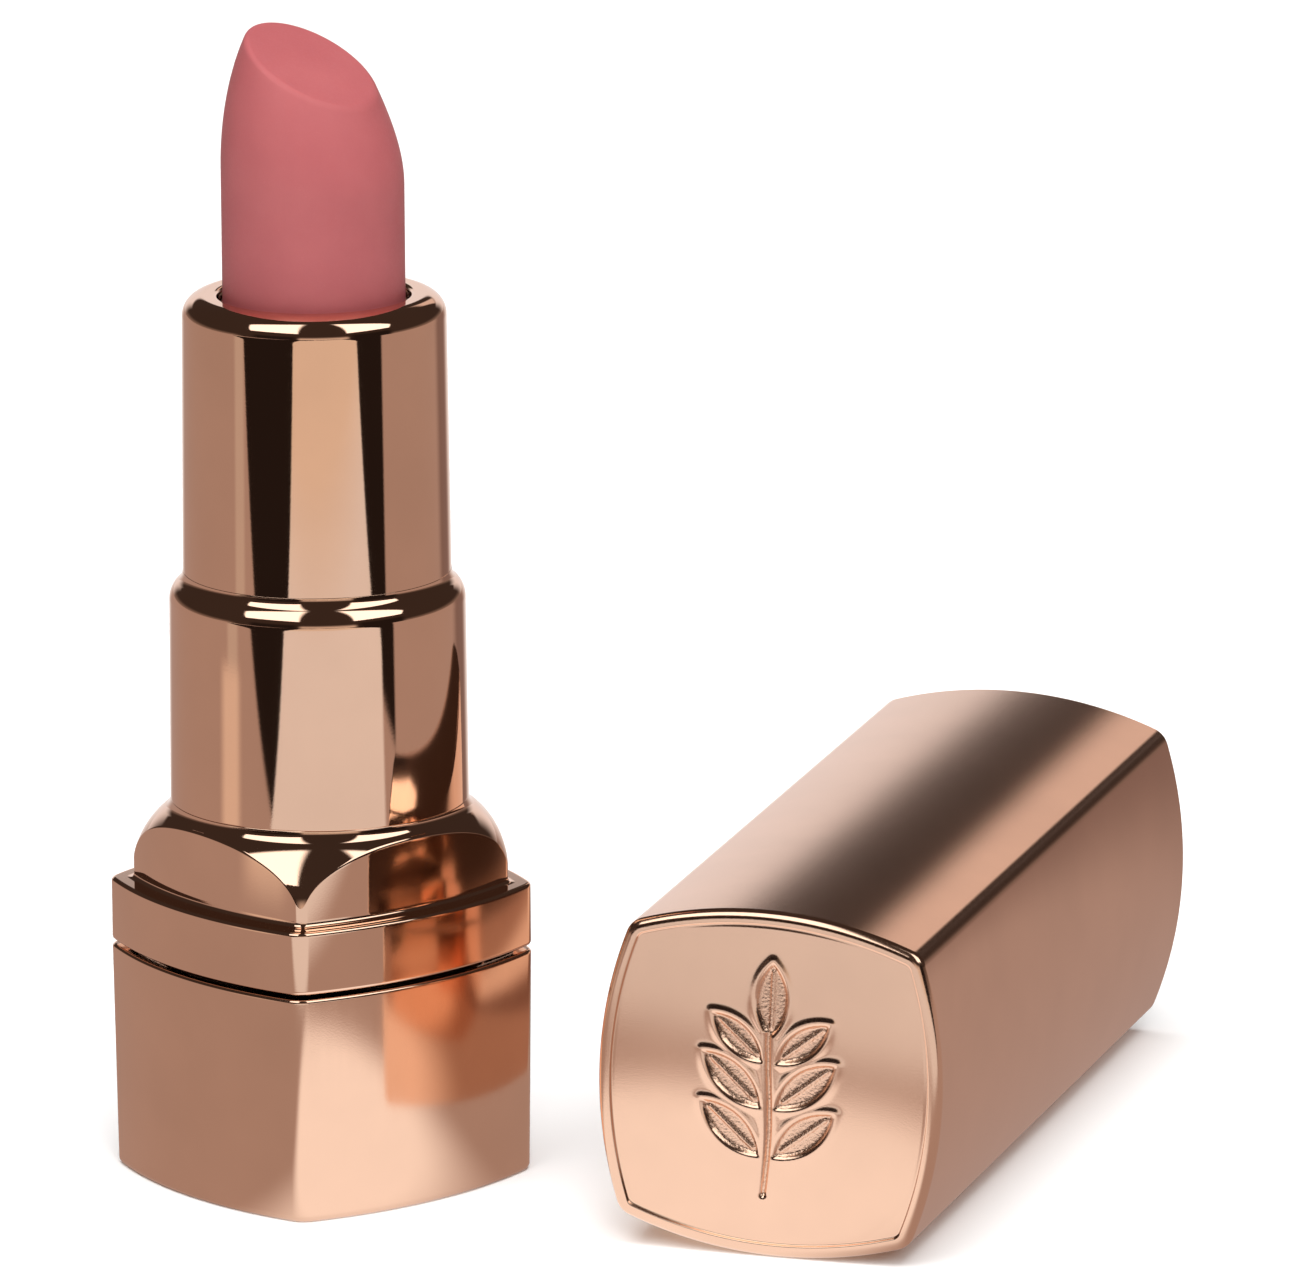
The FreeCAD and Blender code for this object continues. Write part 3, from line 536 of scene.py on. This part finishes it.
def cap_shell(material):
    rings = cap_rings()
    points, faces = skin(rings, (0, 0, CAP_LENGTH - CAP_END))
    face_z = CAP_LENGTH - CAP_STEP
    edge_ring = section(face_z, CAP_EDGE + CAP_RIM + STEP_ROUND, cap_scale(face_z))
    flat, flat_faces = end_face(edge_ring)
    # The sprig stands upright on the lying cap: its up is local +X, its right local -Y.
    sprig, inside = sprig_height(-flat[:, 1], flat[:, 0])
    away = np.clip(np.hypot(flat[:, 0], flat[:, 1]) / FACE_REACH, 0, 1)
    crown = CAP_CROWN * (1 - away ** 2)
    # The face's first ring is the skin's last one; its own points follow the skin's pole.
    count = len(edge_ring)
    last_ring = (len(rings) - 1) * count
    start = len(points)
    points += [(x, y, face_z + h) for (x, y), h in zip(flat, sprig + crown)]
    for corners in flat_faces:
        faces.append(tuple(last_ring + i if i < count else start + i - count for i in corners))
    obj = mesh_piece(
        "cap_skin", points, faces, cap_place(), "cap", "cap_shell", material
    )
    recess = obj.data.attributes.new("recess", "FLOAT", "POINT")
    values = np.zeros(len(points), np.float32)
    values[start:start + len(flat)] = inside
    recess.data.foreach_set("value", values)
    return obj


# ---------------------------------------------------------------- materials

class Nodes:
    """Short calls for building one node tree."""

    def __init__(self, tree):
        self.tree = tree
        self.tree.nodes.clear()

    def add(self, kind, inputs=None, **settings):
        node = self.tree.nodes.new(kind)
        for key, value in settings.items():
            setattr(node, key, value)
        for key, value in (inputs or {}).items():
            self.set(node, key, value)
        return node

    def set(self, node, key, value):
        socket = node.inputs[key]
        if isinstance(value, bpy.types.NodeSocket):
            self.tree.links.new(value, socket)
        else:
            socket.default_value = value

    def math(self, operation, a, b=0.0):
        return self.add("ShaderNodeMath", {0: a, 1: b}, operation=operation).outputs[0]

    def noise(self, vector, scale, detail, roughness=0.5):
        node = self.add("ShaderNodeTexNoise", {
            "Vector": vector, "Scale": scale, "Detail": detail, "Roughness": roughness,
        })
        return node.outputs["Fac"]

    def remap(self, value, low, high, to_low, to_high, smooth_ends=False):
        kind = "SMOOTHSTEP" if smooth_ends else "LINEAR"
        return self.add("ShaderNodeMapRange", {
            "Value": value, "From Min": low, "From Max": high, "To Min": to_low, "To Max": to_high,
        }, interpolation_type=kind).outputs["Result"]

    def mix_colour(self, share, a, b):
        node = self.add("ShaderNodeMix", data_type="RGBA")
        self.set(node, 0, share)
        self.set(node, 6, a)
        self.set(node, 7, b)
        return node.outputs[2]

    def relief(self, shader, height, strength, distance):
        """Turns a height into a slight relief of a shader's surface."""
        bump = self.add("ShaderNodeBump", {"Height": height, "Strength": strength, "Distance": distance})
        self.set(shader, "Normal", bump.outputs[0])


def new_material(name):
    material = bpy.data.materials.new(name)
    material.use_nodes = True
    nodes = Nodes(material.node_tree)
    place = nodes.add("ShaderNodeTexCoord").outputs["Object"]
    shader = nodes.add("ShaderNodeBsdfPrincipled")
    out = nodes.add("ShaderNodeOutputMaterial")
    material.node_tree.links.new(shader.outputs[0], out.inputs["Surface"])
    return material, nodes, place, shader


def stretched(nodes, place, z):
    """Object coordinates multiplied along Z, for grain that runs up a piece or round it."""
    return nodes.add("ShaderNodeVectorMath", {0: place, 1: (1.0, 1.0, z)}, operation="MULTIPLY").outputs[0]


ROSE_GOLD = (0.91, 0.62, 0.46)
STICK_DEEP, STICK_PALE, STICK_SPECK = (0.330, 0.082, 0.088), (0.360, 0.094, 0.099), (0.44, 0.145, 0.15)
LABEL_PALE, LABEL_DEEP, LABEL_RING = (0.70, 0.33, 0.30), (0.64, 0.29, 0.27), (0.86, 0.80, 0.77)
STEEL, STEEL_TARNISHED = (0.52, 0.52, 0.53), (0.38, 0.37, 0.36)
ACETAL, BLACK_ABS, LINER = (0.78, 0.77, 0.74), (0.022, 0.021, 0.021), (0.16, 0.12, 0.105)
NYLON, SILICONE, FOAM = (0.70, 0.68, 0.62), (0.12, 0.12, 0.13), (0.62, 0.60, 0.56)
LABEL_RING_RADIUS, LABEL_RING_HALF, LABEL_RING_SOFT = 6.3 * MM, 0.10 * MM, 0.04 * MM
GRAIN_DEPTH = 0.02 * MM   # real depth of moulding grain and tool marks
RECESS_ROUGHNESS, RECESS_STIPPLE = 0.12, 0.05
# Noise scales, about one patch per metre for each unit.
COAT_SCALE, TONE_SCALE, STREAK_SCALE, STIPPLE_SCALE = 9000.0, 120.0, 2600.0, 5200.0
CLOUD_SCALE, WAX_SCALE = 160.0, 5200.0
MOULD_SCALE, FOAM_SCALE, FLOW_SCALE = 3800.0, 1600.0, 220.0
MARK_SCALE, TARNISH_SCALE, FIBRE_SCALE = 1400.0, 300.0, 2400.0


def opaque(colour, share=1.0):
    """A colour, or a darker share of it, with the alpha that a socket wants."""
    return tuple(c * share for c in colour) + (1.0,)


def metallised(name, roughness, grain, streak, recess=False):
    """Vacuum-metallised, lacquered plastic: a mirror coat with fine grain and draw streaks.  The sunk sprig
    on the cap, where its mesh says how deep a point lies, is rougher and stippled."""
    material, nodes, place, shader = new_material(name)
    fine = nodes.noise(place, COAT_SCALE, 2.0)
    broad = nodes.noise(place, TONE_SCALE, 3.0)
    streaks = nodes.noise(stretched(nodes, place, 0.03), STREAK_SCALE, 2.0)
    tone = nodes.remap(broad, 0.3, 0.7, 0.0, 1.0)
    nodes.set(shader, "Base Color", nodes.mix_colour(tone, opaque(ROSE_GOLD), opaque(ROSE_GOLD, 0.93)))
    nodes.set(shader, "Metallic", 1.0)
    rough = nodes.math("ADD", roughness, nodes.math("MULTIPLY", fine, grain))
    rough = nodes.math("ADD", rough, nodes.math("MULTIPLY", streaks, streak))
    height = nodes.math("MULTIPLY", fine, grain * 0.02)
    if recess:
        depth = nodes.add("ShaderNodeAttribute", attribute_name="recess").outputs["Fac"]
        rough = nodes.math("ADD", rough, nodes.math("MULTIPLY", depth, RECESS_ROUGHNESS))
        stipple = nodes.math("MULTIPLY", nodes.noise(place, STIPPLE_SCALE, 3.0), depth)
        height = nodes.math("ADD", height, nodes.math("MULTIPLY", stipple, RECESS_STIPPLE))
    nodes.set(shader, "Roughness", rough)
    nodes.relief(shader, height, 1.0, MM)
    return material


def velvet_stick():
    """Matt lipstick wax: slightly cloudy, faintly speckled, with a little light passing under its skin."""
    material, nodes, place, shader = new_material("stick_rose")
    cloudy = nodes.noise(place, CLOUD_SCALE, 4.0, 0.6)
    fine = nodes.noise(place, WAX_SCALE, 3.0, 0.6)
    clouds = nodes.remap(cloudy, 0.35, 0.65, 0.0, 1.0)
    colour = nodes.mix_colour(clouds, opaque(STICK_DEEP), opaque(STICK_PALE))
    speck = nodes.remap(fine, 0.62, 0.80, 0.0, 0.25)
    nodes.set(shader, "Base Color", nodes.mix_colour(speck, colour, opaque(STICK_SPECK)))
    nodes.set(shader, "Roughness", nodes.remap(fine, 0.3, 0.7, 0.50, 0.62))
    nodes.set(shader, "Subsurface Weight", 0.12)
    nodes.set(shader, "Subsurface Radius", (1.0, 0.35, 0.25))
    nodes.set(shader, "Subsurface Scale", 0.8 * MM)
    nodes.set(shader, "Specular IOR Level", 0.35)
    nodes.relief(shader, fine, 0.25, GRAIN_DEPTH)
    return material


def moulded(name, colour, roughness, grain_scale=MOULD_SCALE, sheen=0.0):
    """Injection-moulded plastic or rubber with a spark-eroded grain and faint flow marks."""
    material, nodes, place, shader = new_material(name)
    grain = nodes.noise(place, grain_scale, 3.0, 0.6)
    flow = nodes.noise(stretched(nodes, place, 0.25), FLOW_SCALE, 3.0)
    marks = nodes.remap(flow, 0.35, 0.65, 0.0, 1.0)
    nodes.set(shader, "Base Color", nodes.mix_colour(marks, opaque(colour), opaque(colour, 0.86)))
    nodes.set(shader, "Roughness", nodes.remap(grain, 0.3, 0.7, roughness - 0.06, roughness + 0.08))
    nodes.set(shader, "Sheen Weight", sheen)
    nodes.relief(shader, grain, 0.3, GRAIN_DEPTH)
    return material


def turned_steel(name):
    """Plain steel with fine circular and draw marks and slight patches of tarnish."""
    material, nodes, place, shader = new_material(name)
    marks = nodes.noise(stretched(nodes, place, 8.0), MARK_SCALE, 3.0)
    patches = nodes.remap(nodes.noise(place, TARNISH_SCALE, 4.0), 0.4, 0.7, 0.0, 1.0)
    nodes.set(shader, "Base Color", nodes.mix_colour(patches, opaque(STEEL), opaque(STEEL_TARNISHED)))
    nodes.set(shader, "Metallic", 1.0)
    nodes.set(shader, "Roughness", nodes.remap(marks, 0.3, 0.7, 0.24, 0.42))
    nodes.relief(shader, marks, 0.3, GRAIN_DEPTH)
    return material


def film_label(name):
    """Satin film label with a plain printed ring near its edge and no lettering."""
    material, nodes, place, shader = new_material(name)
    split = nodes.add("ShaderNodeSeparateXYZ", {0: place}).outputs
    away = nodes.add("ShaderNodeVectorMath", {0: place}, operation="LENGTH").outputs["Value"]
    from_ring = nodes.math("ABSOLUTE", nodes.math("SUBTRACT", away, LABEL_RING_RADIUS))
    ring = nodes.remap(from_ring, LABEL_RING_HALF, LABEL_RING_HALF + LABEL_RING_SOFT, 1.0, 0.0)
    fibre = nodes.noise(place, FIBRE_SCALE, 4.0)
    tint = nodes.mix_colour(nodes.remap(fibre, 0.3, 0.7, 0.0, 1.0), opaque(LABEL_PALE), opaque(LABEL_DEEP))
    nodes.set(shader, "Base Color", nodes.mix_colour(ring, tint, opaque(LABEL_RING)))
    # The film is rubbed a little smoother towards one side.
    rubbed = nodes.math("ADD", fibre, nodes.math("MULTIPLY", split[0], 2.0))
    nodes.set(shader, "Roughness", nodes.remap(rubbed, 0.3, 0.7, 0.36, 0.48))
    return material


def dress_cad_nodes():
    """Materials for the CAD pieces that keep their own shape."""
    acetal = moulded("white_acetal", ACETAL, 0.34)
    foam = moulded("adhesive_foam", FOAM, 0.80, grain_scale=FOAM_SCALE)
    steel = turned_steel("steel")
    wanted = {
        "guide_tube": acetal,
        "spiral_sleeve": acetal,
        "carrier_cup": acetal,
        "base_insert": moulded("black_abs", BLACK_ABS, 0.42),
        "cap_liner": moulded("liner_plastic", LINER, 0.38),
        "thrust_washer": moulded("nylon", NYLON, 0.45),
        "brake_ring": moulded("silicone", SILICONE, 0.55, sheen=0.2),
        "base_weight_pad": foam,
        "cap_weight_pad": foam,
        "base_weight": steel,
        "cap_weight": steel,
        "retaining_ring": steel,
        "shade_label": film_label("label_film"),
    }
    for node, material in wanted.items():
        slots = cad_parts[node].data.materials
        slots.clear()
        slots.append(material)


# ---------------------------------------------------------------- stage, light, camera

CAMERA_AT = (248.40, -716.17, 220.45)
CAMERA_AZIMUTH = math.radians(17.491)
CAMERA_PITCH = math.radians(13.662)
CAMERA_ROLL = math.radians(0.295)
CAMERA_LENS = 328.4
CAMERA_SENSOR = 36
CAMERA_NEAR, CAMERA_FAR = 0.05, 20
GROUND_HALF = 3.0
CARD_DROP = 0.2 * MM      # the reflected table lies this far under the floor
STAGE_MIDDLE = Vector((0.017, 0.010, 0.03))


def camera():
    forward = Vector((
        -math.sin(CAMERA_AZIMUTH) * math.cos(CAMERA_PITCH),
        math.cos(CAMERA_AZIMUTH) * math.cos(CAMERA_PITCH),
        -math.sin(CAMERA_PITCH),
    ))
    right = Vector((math.cos(CAMERA_AZIMUTH), math.sin(CAMERA_AZIMUTH), 0))
    down = forward.cross(right)
    c, s = math.cos(CAMERA_ROLL), math.sin(CAMERA_ROLL)
    rolled_right, rolled_down = c * right + s * down, c * down - s * right
    data = bpy.data.cameras.new("camera")
    data.lens = CAMERA_LENS
    data.sensor_width = CAMERA_SENSOR
    data.clip_start, data.clip_end = CAMERA_NEAR, CAMERA_FAR
    obj = bpy.data.objects.new("camera", data)
    bpy.context.scene.collection.objects.link(obj)
    turn = Matrix((rolled_right, -rolled_down, -forward)).transposed().to_4x4()
    obj.matrix_world = Matrix.Translation(Vector(CAMERA_AT) * MM) @ turn
    bpy.context.scene.camera = obj


def staged(name, mesh, material, seen_by, turn=0.0, drop=0.0):
    """A mesh of the studio, seen only by the named kinds of ray."""
    mesh.materials.append(material)
    obj = bpy.data.objects.new(name, mesh)
    obj.matrix_world = Matrix.Translation((0, 0, -drop)) @ Matrix.Rotation(turn, 4, "Z")
    bpy.context.scene.collection.objects.link(obj)
    for kind in ("camera", "diffuse", "glossy", "shadow", "transmission"):
        setattr(obj, "visible_" + kind, kind in seen_by)
    return obj


def ground_mesh(name):
    """A large square on the ground."""
    h = GROUND_HALF
    mesh = bpy.data.meshes.new(name)
    mesh.from_pydata([(-h, -h, 0), (h, -h, 0), (h, h, 0), (-h, h, 0)], [], [(0, 1, 2, 3)])
    return mesh


def floor():
    """White floor that the camera and diffuse light see; polished sides see table_card instead."""
    material, nodes, _, shader = new_material("floor_white")
    nodes.set(shader, "Base Color", (0.90, 0.90, 0.90, 1))
    nodes.set(shader, "Roughness", 0.8)
    nodes.set(shader, "Specular IOR Level", 0.1)
    staged("floor", ground_mesh("floor"), material, ("camera", "diffuse", "shadow"))


class Light:
    """Colour built up in layers, each a mask over the last, for the reflected table and the surroundings."""

    def __init__(self, nodes, ground):
        self.nodes = nodes
        self.colour = opaque(ground)

    def layer(self, mask, colour):
        if not isinstance(colour, bpy.types.NodeSocket):
            colour = opaque(colour)
        self.colour = self.nodes.mix_colour(mask, self.colour, colour)

    def beyond(self, value, edge, soft):
        """1 where value is above edge by more than soft, 0 where it is below by more than soft."""
        return self.nodes.remap(value, edge - soft, edge + soft, 0.0, 1.0, smooth_ends=True)

    def below(self, value, edge, soft):
        return self.nodes.remap(value, edge - soft, edge + soft, 1.0, 0.0, smooth_ends=True)

    def within(self, value, low, high, soft):
        return self.both(self.beyond(value, low, soft), self.below(value, high, soft))

    def both(self, a, b):
        return self.nodes.math("MULTIPLY", a, b)

    def leaning(self, a, b, share):
        """a + share * b, for an edge that runs askew."""
        return self.nodes.math("ADD", a, self.nodes.math("MULTIPLY", b, share))

    def bearing(self, across, towards):
        """Degrees to the right of the camera's side, as seen from the object."""
        return self.nodes.math("MULTIPLY", self.nodes.math("ARCTAN2", across, towards), 180 / math.pi)


WARM_GREY = (0.44, 0.325, 0.285)
NEAR_BLACK = (0.018, 0.012, 0.010)
ROOM_DARK, ROOM_TAN = (0.045, 0.030, 0.024), (0.36, 0.26, 0.22)
STREAK, STREAK_BRIGHT = (0.56, 0.46, 0.40), (0.76, 0.60, 0.50)
SHADOW_BROWN, TABLE_PALE = (0.24, 0.16, 0.14), (0.92, 0.86, 0.84)
CARD_NEAR, CARD_FAR, CARD_LOW = (0.82, 0.78, 0.77), (0.78, 0.65, 0.54), (0.72, 0.58, 0.49)
LIT_TABLE = (1.12, 1.06, 1.04)
LIT_CENTRE, LIT_INNER, LIT_OUTER = (12 * MM, -32 * MM, 0), 19 * MM, 29 * MM
BACKDROP, BACK_PATCH, SOFTBOX = (0.90, 0.83, 0.82), (0.78, 0.60, 0.52), (1.9, 1.85, 1.8)

# Bounds of the layers, from and to or one edge, and last half the width of the soft edge.  On the table
# they are bearings in degrees or millimetres from the object, and the dark on the left and the bright
# card end about a metre off.
OUTSIDE = (92, 10)
STREAK_SPAN = (-71, -62, 2)
BRIGHT_SPAN, BRIGHT_REACH = (-76, -61, 4), (165, 4)
SHADOW_SPAN, BEHIND = (132, 154, 6), (160, 9)
LEFT_DARK_LEAN, LEFT_DARK_FROM, LEFT_DARK_ACROSS = 0.22, (84, 3), (-999, 20, 5)
RIGHT_DARK_FROM, RIGHT_DARK_SPAN = (122, 4), (0, 61, 1.2)
CARD_LEFT_LEAN, CARD_LEFT = 0.11, (-56, 1.8)
CARD_RIGHT_LEAN, CARD_RIGHT = -0.4, (-999, 91, 1.8)
CARD_CORNER_LEAN, CARD_CORNER = -1.15, (-999, 7, 5)
CARD_FROM, CARD_FADE = (66, 6), (175, 245)

# In the room they are bearings, and heights above the horizon in degrees.
TAN_SIDES, TAN_TOP = (68, 6), (1.5, 7.5)
LEFT_BLACK_SPAN, LEFT_BLACK_TOP = (-52, -15, 4), (14, 5)
RIGHT_BLACK_SPAN, RIGHT_BLACK_TOP = (34, 72, 4), (18, 5)
LOW_CARD_SPAN, LOW_CARD_TOP = (-12, 31, 2.5), (7, 7)
BACKDROP_SIDES, BACKDROP_TOP = (154, 8), (14.8, 1.5)
PATCH_SPAN, PATCH_HEIGHTS = (157, 168, 2.0), (15, 30, 3.0)
LEAST_UP, SOFTBOX_UP, SOFTBOX_SOFT = 0.02, (0.06, 0.02), 0.04

# Edges of the two softboxes on a plane overhead at unit height: a point that lies u to the right and v
# towards the camera is inside where u * first + v * second is over third, for all four.
SOFTBOXES = (
    ((-1, -0.21, 0.06), (0.718, -1, -1.98), (0.95, 1, -0.60), (0, 1, 0.13)),
    ((1, -0.55, 0.10), (-1.378, -1, -3.09), (-0.60, 1, -0.62), (0, 1, 0.13)),
)


def table_card():
    """A glowing sheet under the floor, seen only by polished sides and painted with the table they reflect:
    a painted pool of light in front, a painted shadow, a grey table, a dark room past its edge with one
    bright card standing in it, and the pale backdrop behind."""
    material = bpy.data.materials.new("table_card")
    material.use_nodes = True
    nodes = Nodes(material.node_tree)
    place = nodes.add("ShaderNodeTexCoord").outputs["Object"]
    split = nodes.add("ShaderNodeSeparateXYZ", {0: place}).outputs
    across = nodes.math("DIVIDE", split[0], MM)
    towards = nodes.math("DIVIDE", split[1], -MM)
    away = nodes.add("ShaderNodeVectorMath", {0: place}, operation="LENGTH").outputs["Value"]
    away = nodes.math("DIVIDE", away, MM)
    light = Light(nodes, WARM_GREY)
    bearing = light.bearing(across, towards)
    off_centre = nodes.math("ABSOLUTE", bearing)
    outside = light.beyond(away, *OUTSIDE)
    light.layer(light.both(outside, light.within(bearing, *STREAK_SPAN)), STREAK)
    inner_streak = light.both(outside, light.below(away, *BRIGHT_REACH))
    light.layer(light.both(inner_streak, light.within(bearing, *BRIGHT_SPAN)), STREAK_BRIGHT)
    light.layer(light.within(bearing, *SHADOW_SPAN), SHADOW_BROWN)
    light.layer(light.beyond(off_centre, *BEHIND), TABLE_PALE)
    left_dark = light.both(
        light.beyond(light.leaning(towards, across, LEFT_DARK_LEAN), *LEFT_DARK_FROM),
        light.within(across, *LEFT_DARK_ACROSS),
    )
    right_dark = light.both(
        light.beyond(across, *RIGHT_DARK_FROM), light.within(bearing, *RIGHT_DARK_SPAN)
    )
    light.layer(nodes.math("MAXIMUM", left_dark, right_dark), NEAR_BLACK)
    card = light.both(
        light.beyond(light.leaning(across, towards, CARD_LEFT_LEAN), *CARD_LEFT),
        light.within(light.leaning(across, towards, CARD_RIGHT_LEAN), *CARD_RIGHT),
    )
    corner = light.within(light.leaning(across, towards, CARD_CORNER_LEAN), *CARD_CORNER)
    card = light.both(card, corner)
    card = light.both(card, light.beyond(towards, *CARD_FROM))
    far = nodes.remap(towards, *CARD_FADE, 0.0, 1.0)
    light.layer(card, nodes.mix_colour(far, opaque(CARD_NEAR), opaque(CARD_FAR)))
    from_lit = nodes.add("ShaderNodeVectorMath", {0: place, 1: LIT_CENTRE}, operation="DISTANCE")
    lit = nodes.remap(from_lit.outputs["Value"], LIT_INNER, LIT_OUTER, 1.0, 0.0, smooth_ends=True)
    light.layer(lit, LIT_TABLE)
    # The sheet glows with this painted reflection, painted light and shade included.
    glow = nodes.add("ShaderNodeEmission", {"Color": light.colour, "Strength": 1.0})
    out = nodes.add("ShaderNodeOutputMaterial")
    material.node_tree.links.new(glow.outputs[0], out.inputs["Surface"])
    staged("table_card", ground_mesh("table_card"), material, ("glossy",), CAMERA_AZIMUTH, CARD_DROP)


def surroundings():
    """The room above the table: two softboxes with a dark gap between, a low card and a pale backdrop."""
    world = bpy.data.worlds.new("studio")
    bpy.context.scene.world = world
    world.use_nodes = True
    nodes = Nodes(world.node_tree)
    way = nodes.add("ShaderNodeTexCoord").outputs["Generated"]
    turned = nodes.add(
        "ShaderNodeVectorRotate", {"Vector": way, "Angle": -CAMERA_AZIMUTH}, rotation_type="Z_AXIS"
    )
    split = nodes.add("ShaderNodeSeparateXYZ", {0: turned.outputs[0]}).outputs
    across, towards = split[0], nodes.math("MULTIPLY", split[1], -1.0)
    light = Light(nodes, ROOM_DARK)
    bearing = light.bearing(across, towards)
    off_centre = nodes.math("ABSOLUTE", bearing)
    height = nodes.math("MULTIPLY", nodes.math("ARCSINE", split[2]), 180 / math.pi)
    tan = light.both(light.below(height, *TAN_TOP), light.beyond(off_centre, *TAN_SIDES))
    light.layer(tan, ROOM_TAN)
    left_black = light.both(light.within(bearing, *LEFT_BLACK_SPAN), light.below(height, *LEFT_BLACK_TOP))
    light.layer(left_black, NEAR_BLACK)
    right_black = light.both(
        light.within(bearing, *RIGHT_BLACK_SPAN), light.below(height, *RIGHT_BLACK_TOP)
    )
    light.layer(right_black, NEAR_BLACK)
    low_card = light.both(light.within(bearing, *LOW_CARD_SPAN), light.below(height, *LOW_CARD_TOP))
    light.layer(low_card, CARD_LOW)
    backdrop = light.both(light.beyond(off_centre, *BACKDROP_SIDES), light.below(height, *BACKDROP_TOP))
    light.layer(backdrop, BACKDROP)
    up = nodes.math("MAXIMUM", split[2], LEAST_UP)
    u, v = nodes.math("DIVIDE", across, up), nodes.math("DIVIDE", towards, up)
    for edges in SOFTBOXES:
        box = light.beyond(split[2], *SOFTBOX_UP)
        for u_share, v_share, edge in edges:
            value = light.leaning(nodes.math("MULTIPLY", u, u_share), v, v_share)
            box = light.both(box, light.beyond(value, edge, SOFTBOX_SOFT))
        light.layer(box, SOFTBOX)
    patch = light.both(light.within(bearing, *PATCH_SPAN), light.within(height, *PATCH_HEIGHTS))
    light.layer(patch, BACK_PATCH)
    shade = nodes.add("ShaderNodeBackground", {"Color": light.colour, "Strength": 1.0})
    out = nodes.add("ShaderNodeOutputWorld")
    world.node_tree.links.new(shade.outputs[0], out.inputs["Surface"])


def area_light(name, bearing, elevation, distance, size, watts):
    """A soft light at a bearing from the camera's side of the object, kept out of mirror reflections."""
    data = bpy.data.lights.new(name, "AREA")
    data.shape = "DISK"
    data.size = size
    data.energy = watts
    a, e = CAMERA_AZIMUTH + math.radians(bearing), math.radians(elevation)
    way = Vector((math.sin(a) * math.cos(e), -math.cos(a) * math.cos(e), math.sin(e)))
    obj = bpy.data.objects.new(name, data)
    obj.location = way * distance + STAGE_MIDDLE
    obj.rotation_mode = "QUATERNION"
    obj.rotation_quaternion = (-way).to_track_quat("-Z", "Y")
    obj.visible_glossy = False
    bpy.context.scene.collection.objects.link(obj)


# ---------------------------------------------------------------- assembly

mirror = metallised("metallised_mirror", roughness=0.02, grain=0.02, streak=0.02)
satin = metallised("metallised_satin", roughness=0.05, grain=0.05, streak=0.06)
cap_metal = metallised("metallised_cap", roughness=0.11, grain=0.07, streak=0.0, recess=True)
base_cup(satin)
collar(mirror)
lower_sleeve(mirror)
tube_shell(mirror)
lipstick(velvet_stick())
cap_shell(cap_metal)
dress_cad_nodes()
camera()
floor()
table_card()
surroundings()
area_light("top_light", bearing=0, elevation=80, distance=1.3, size=1.6, watts=26)
area_light("front_light", bearing=8, elevation=30, distance=1.1, size=0.5, watts=5)
bpy.context.scene.view_settings.view_transform = "Standard"
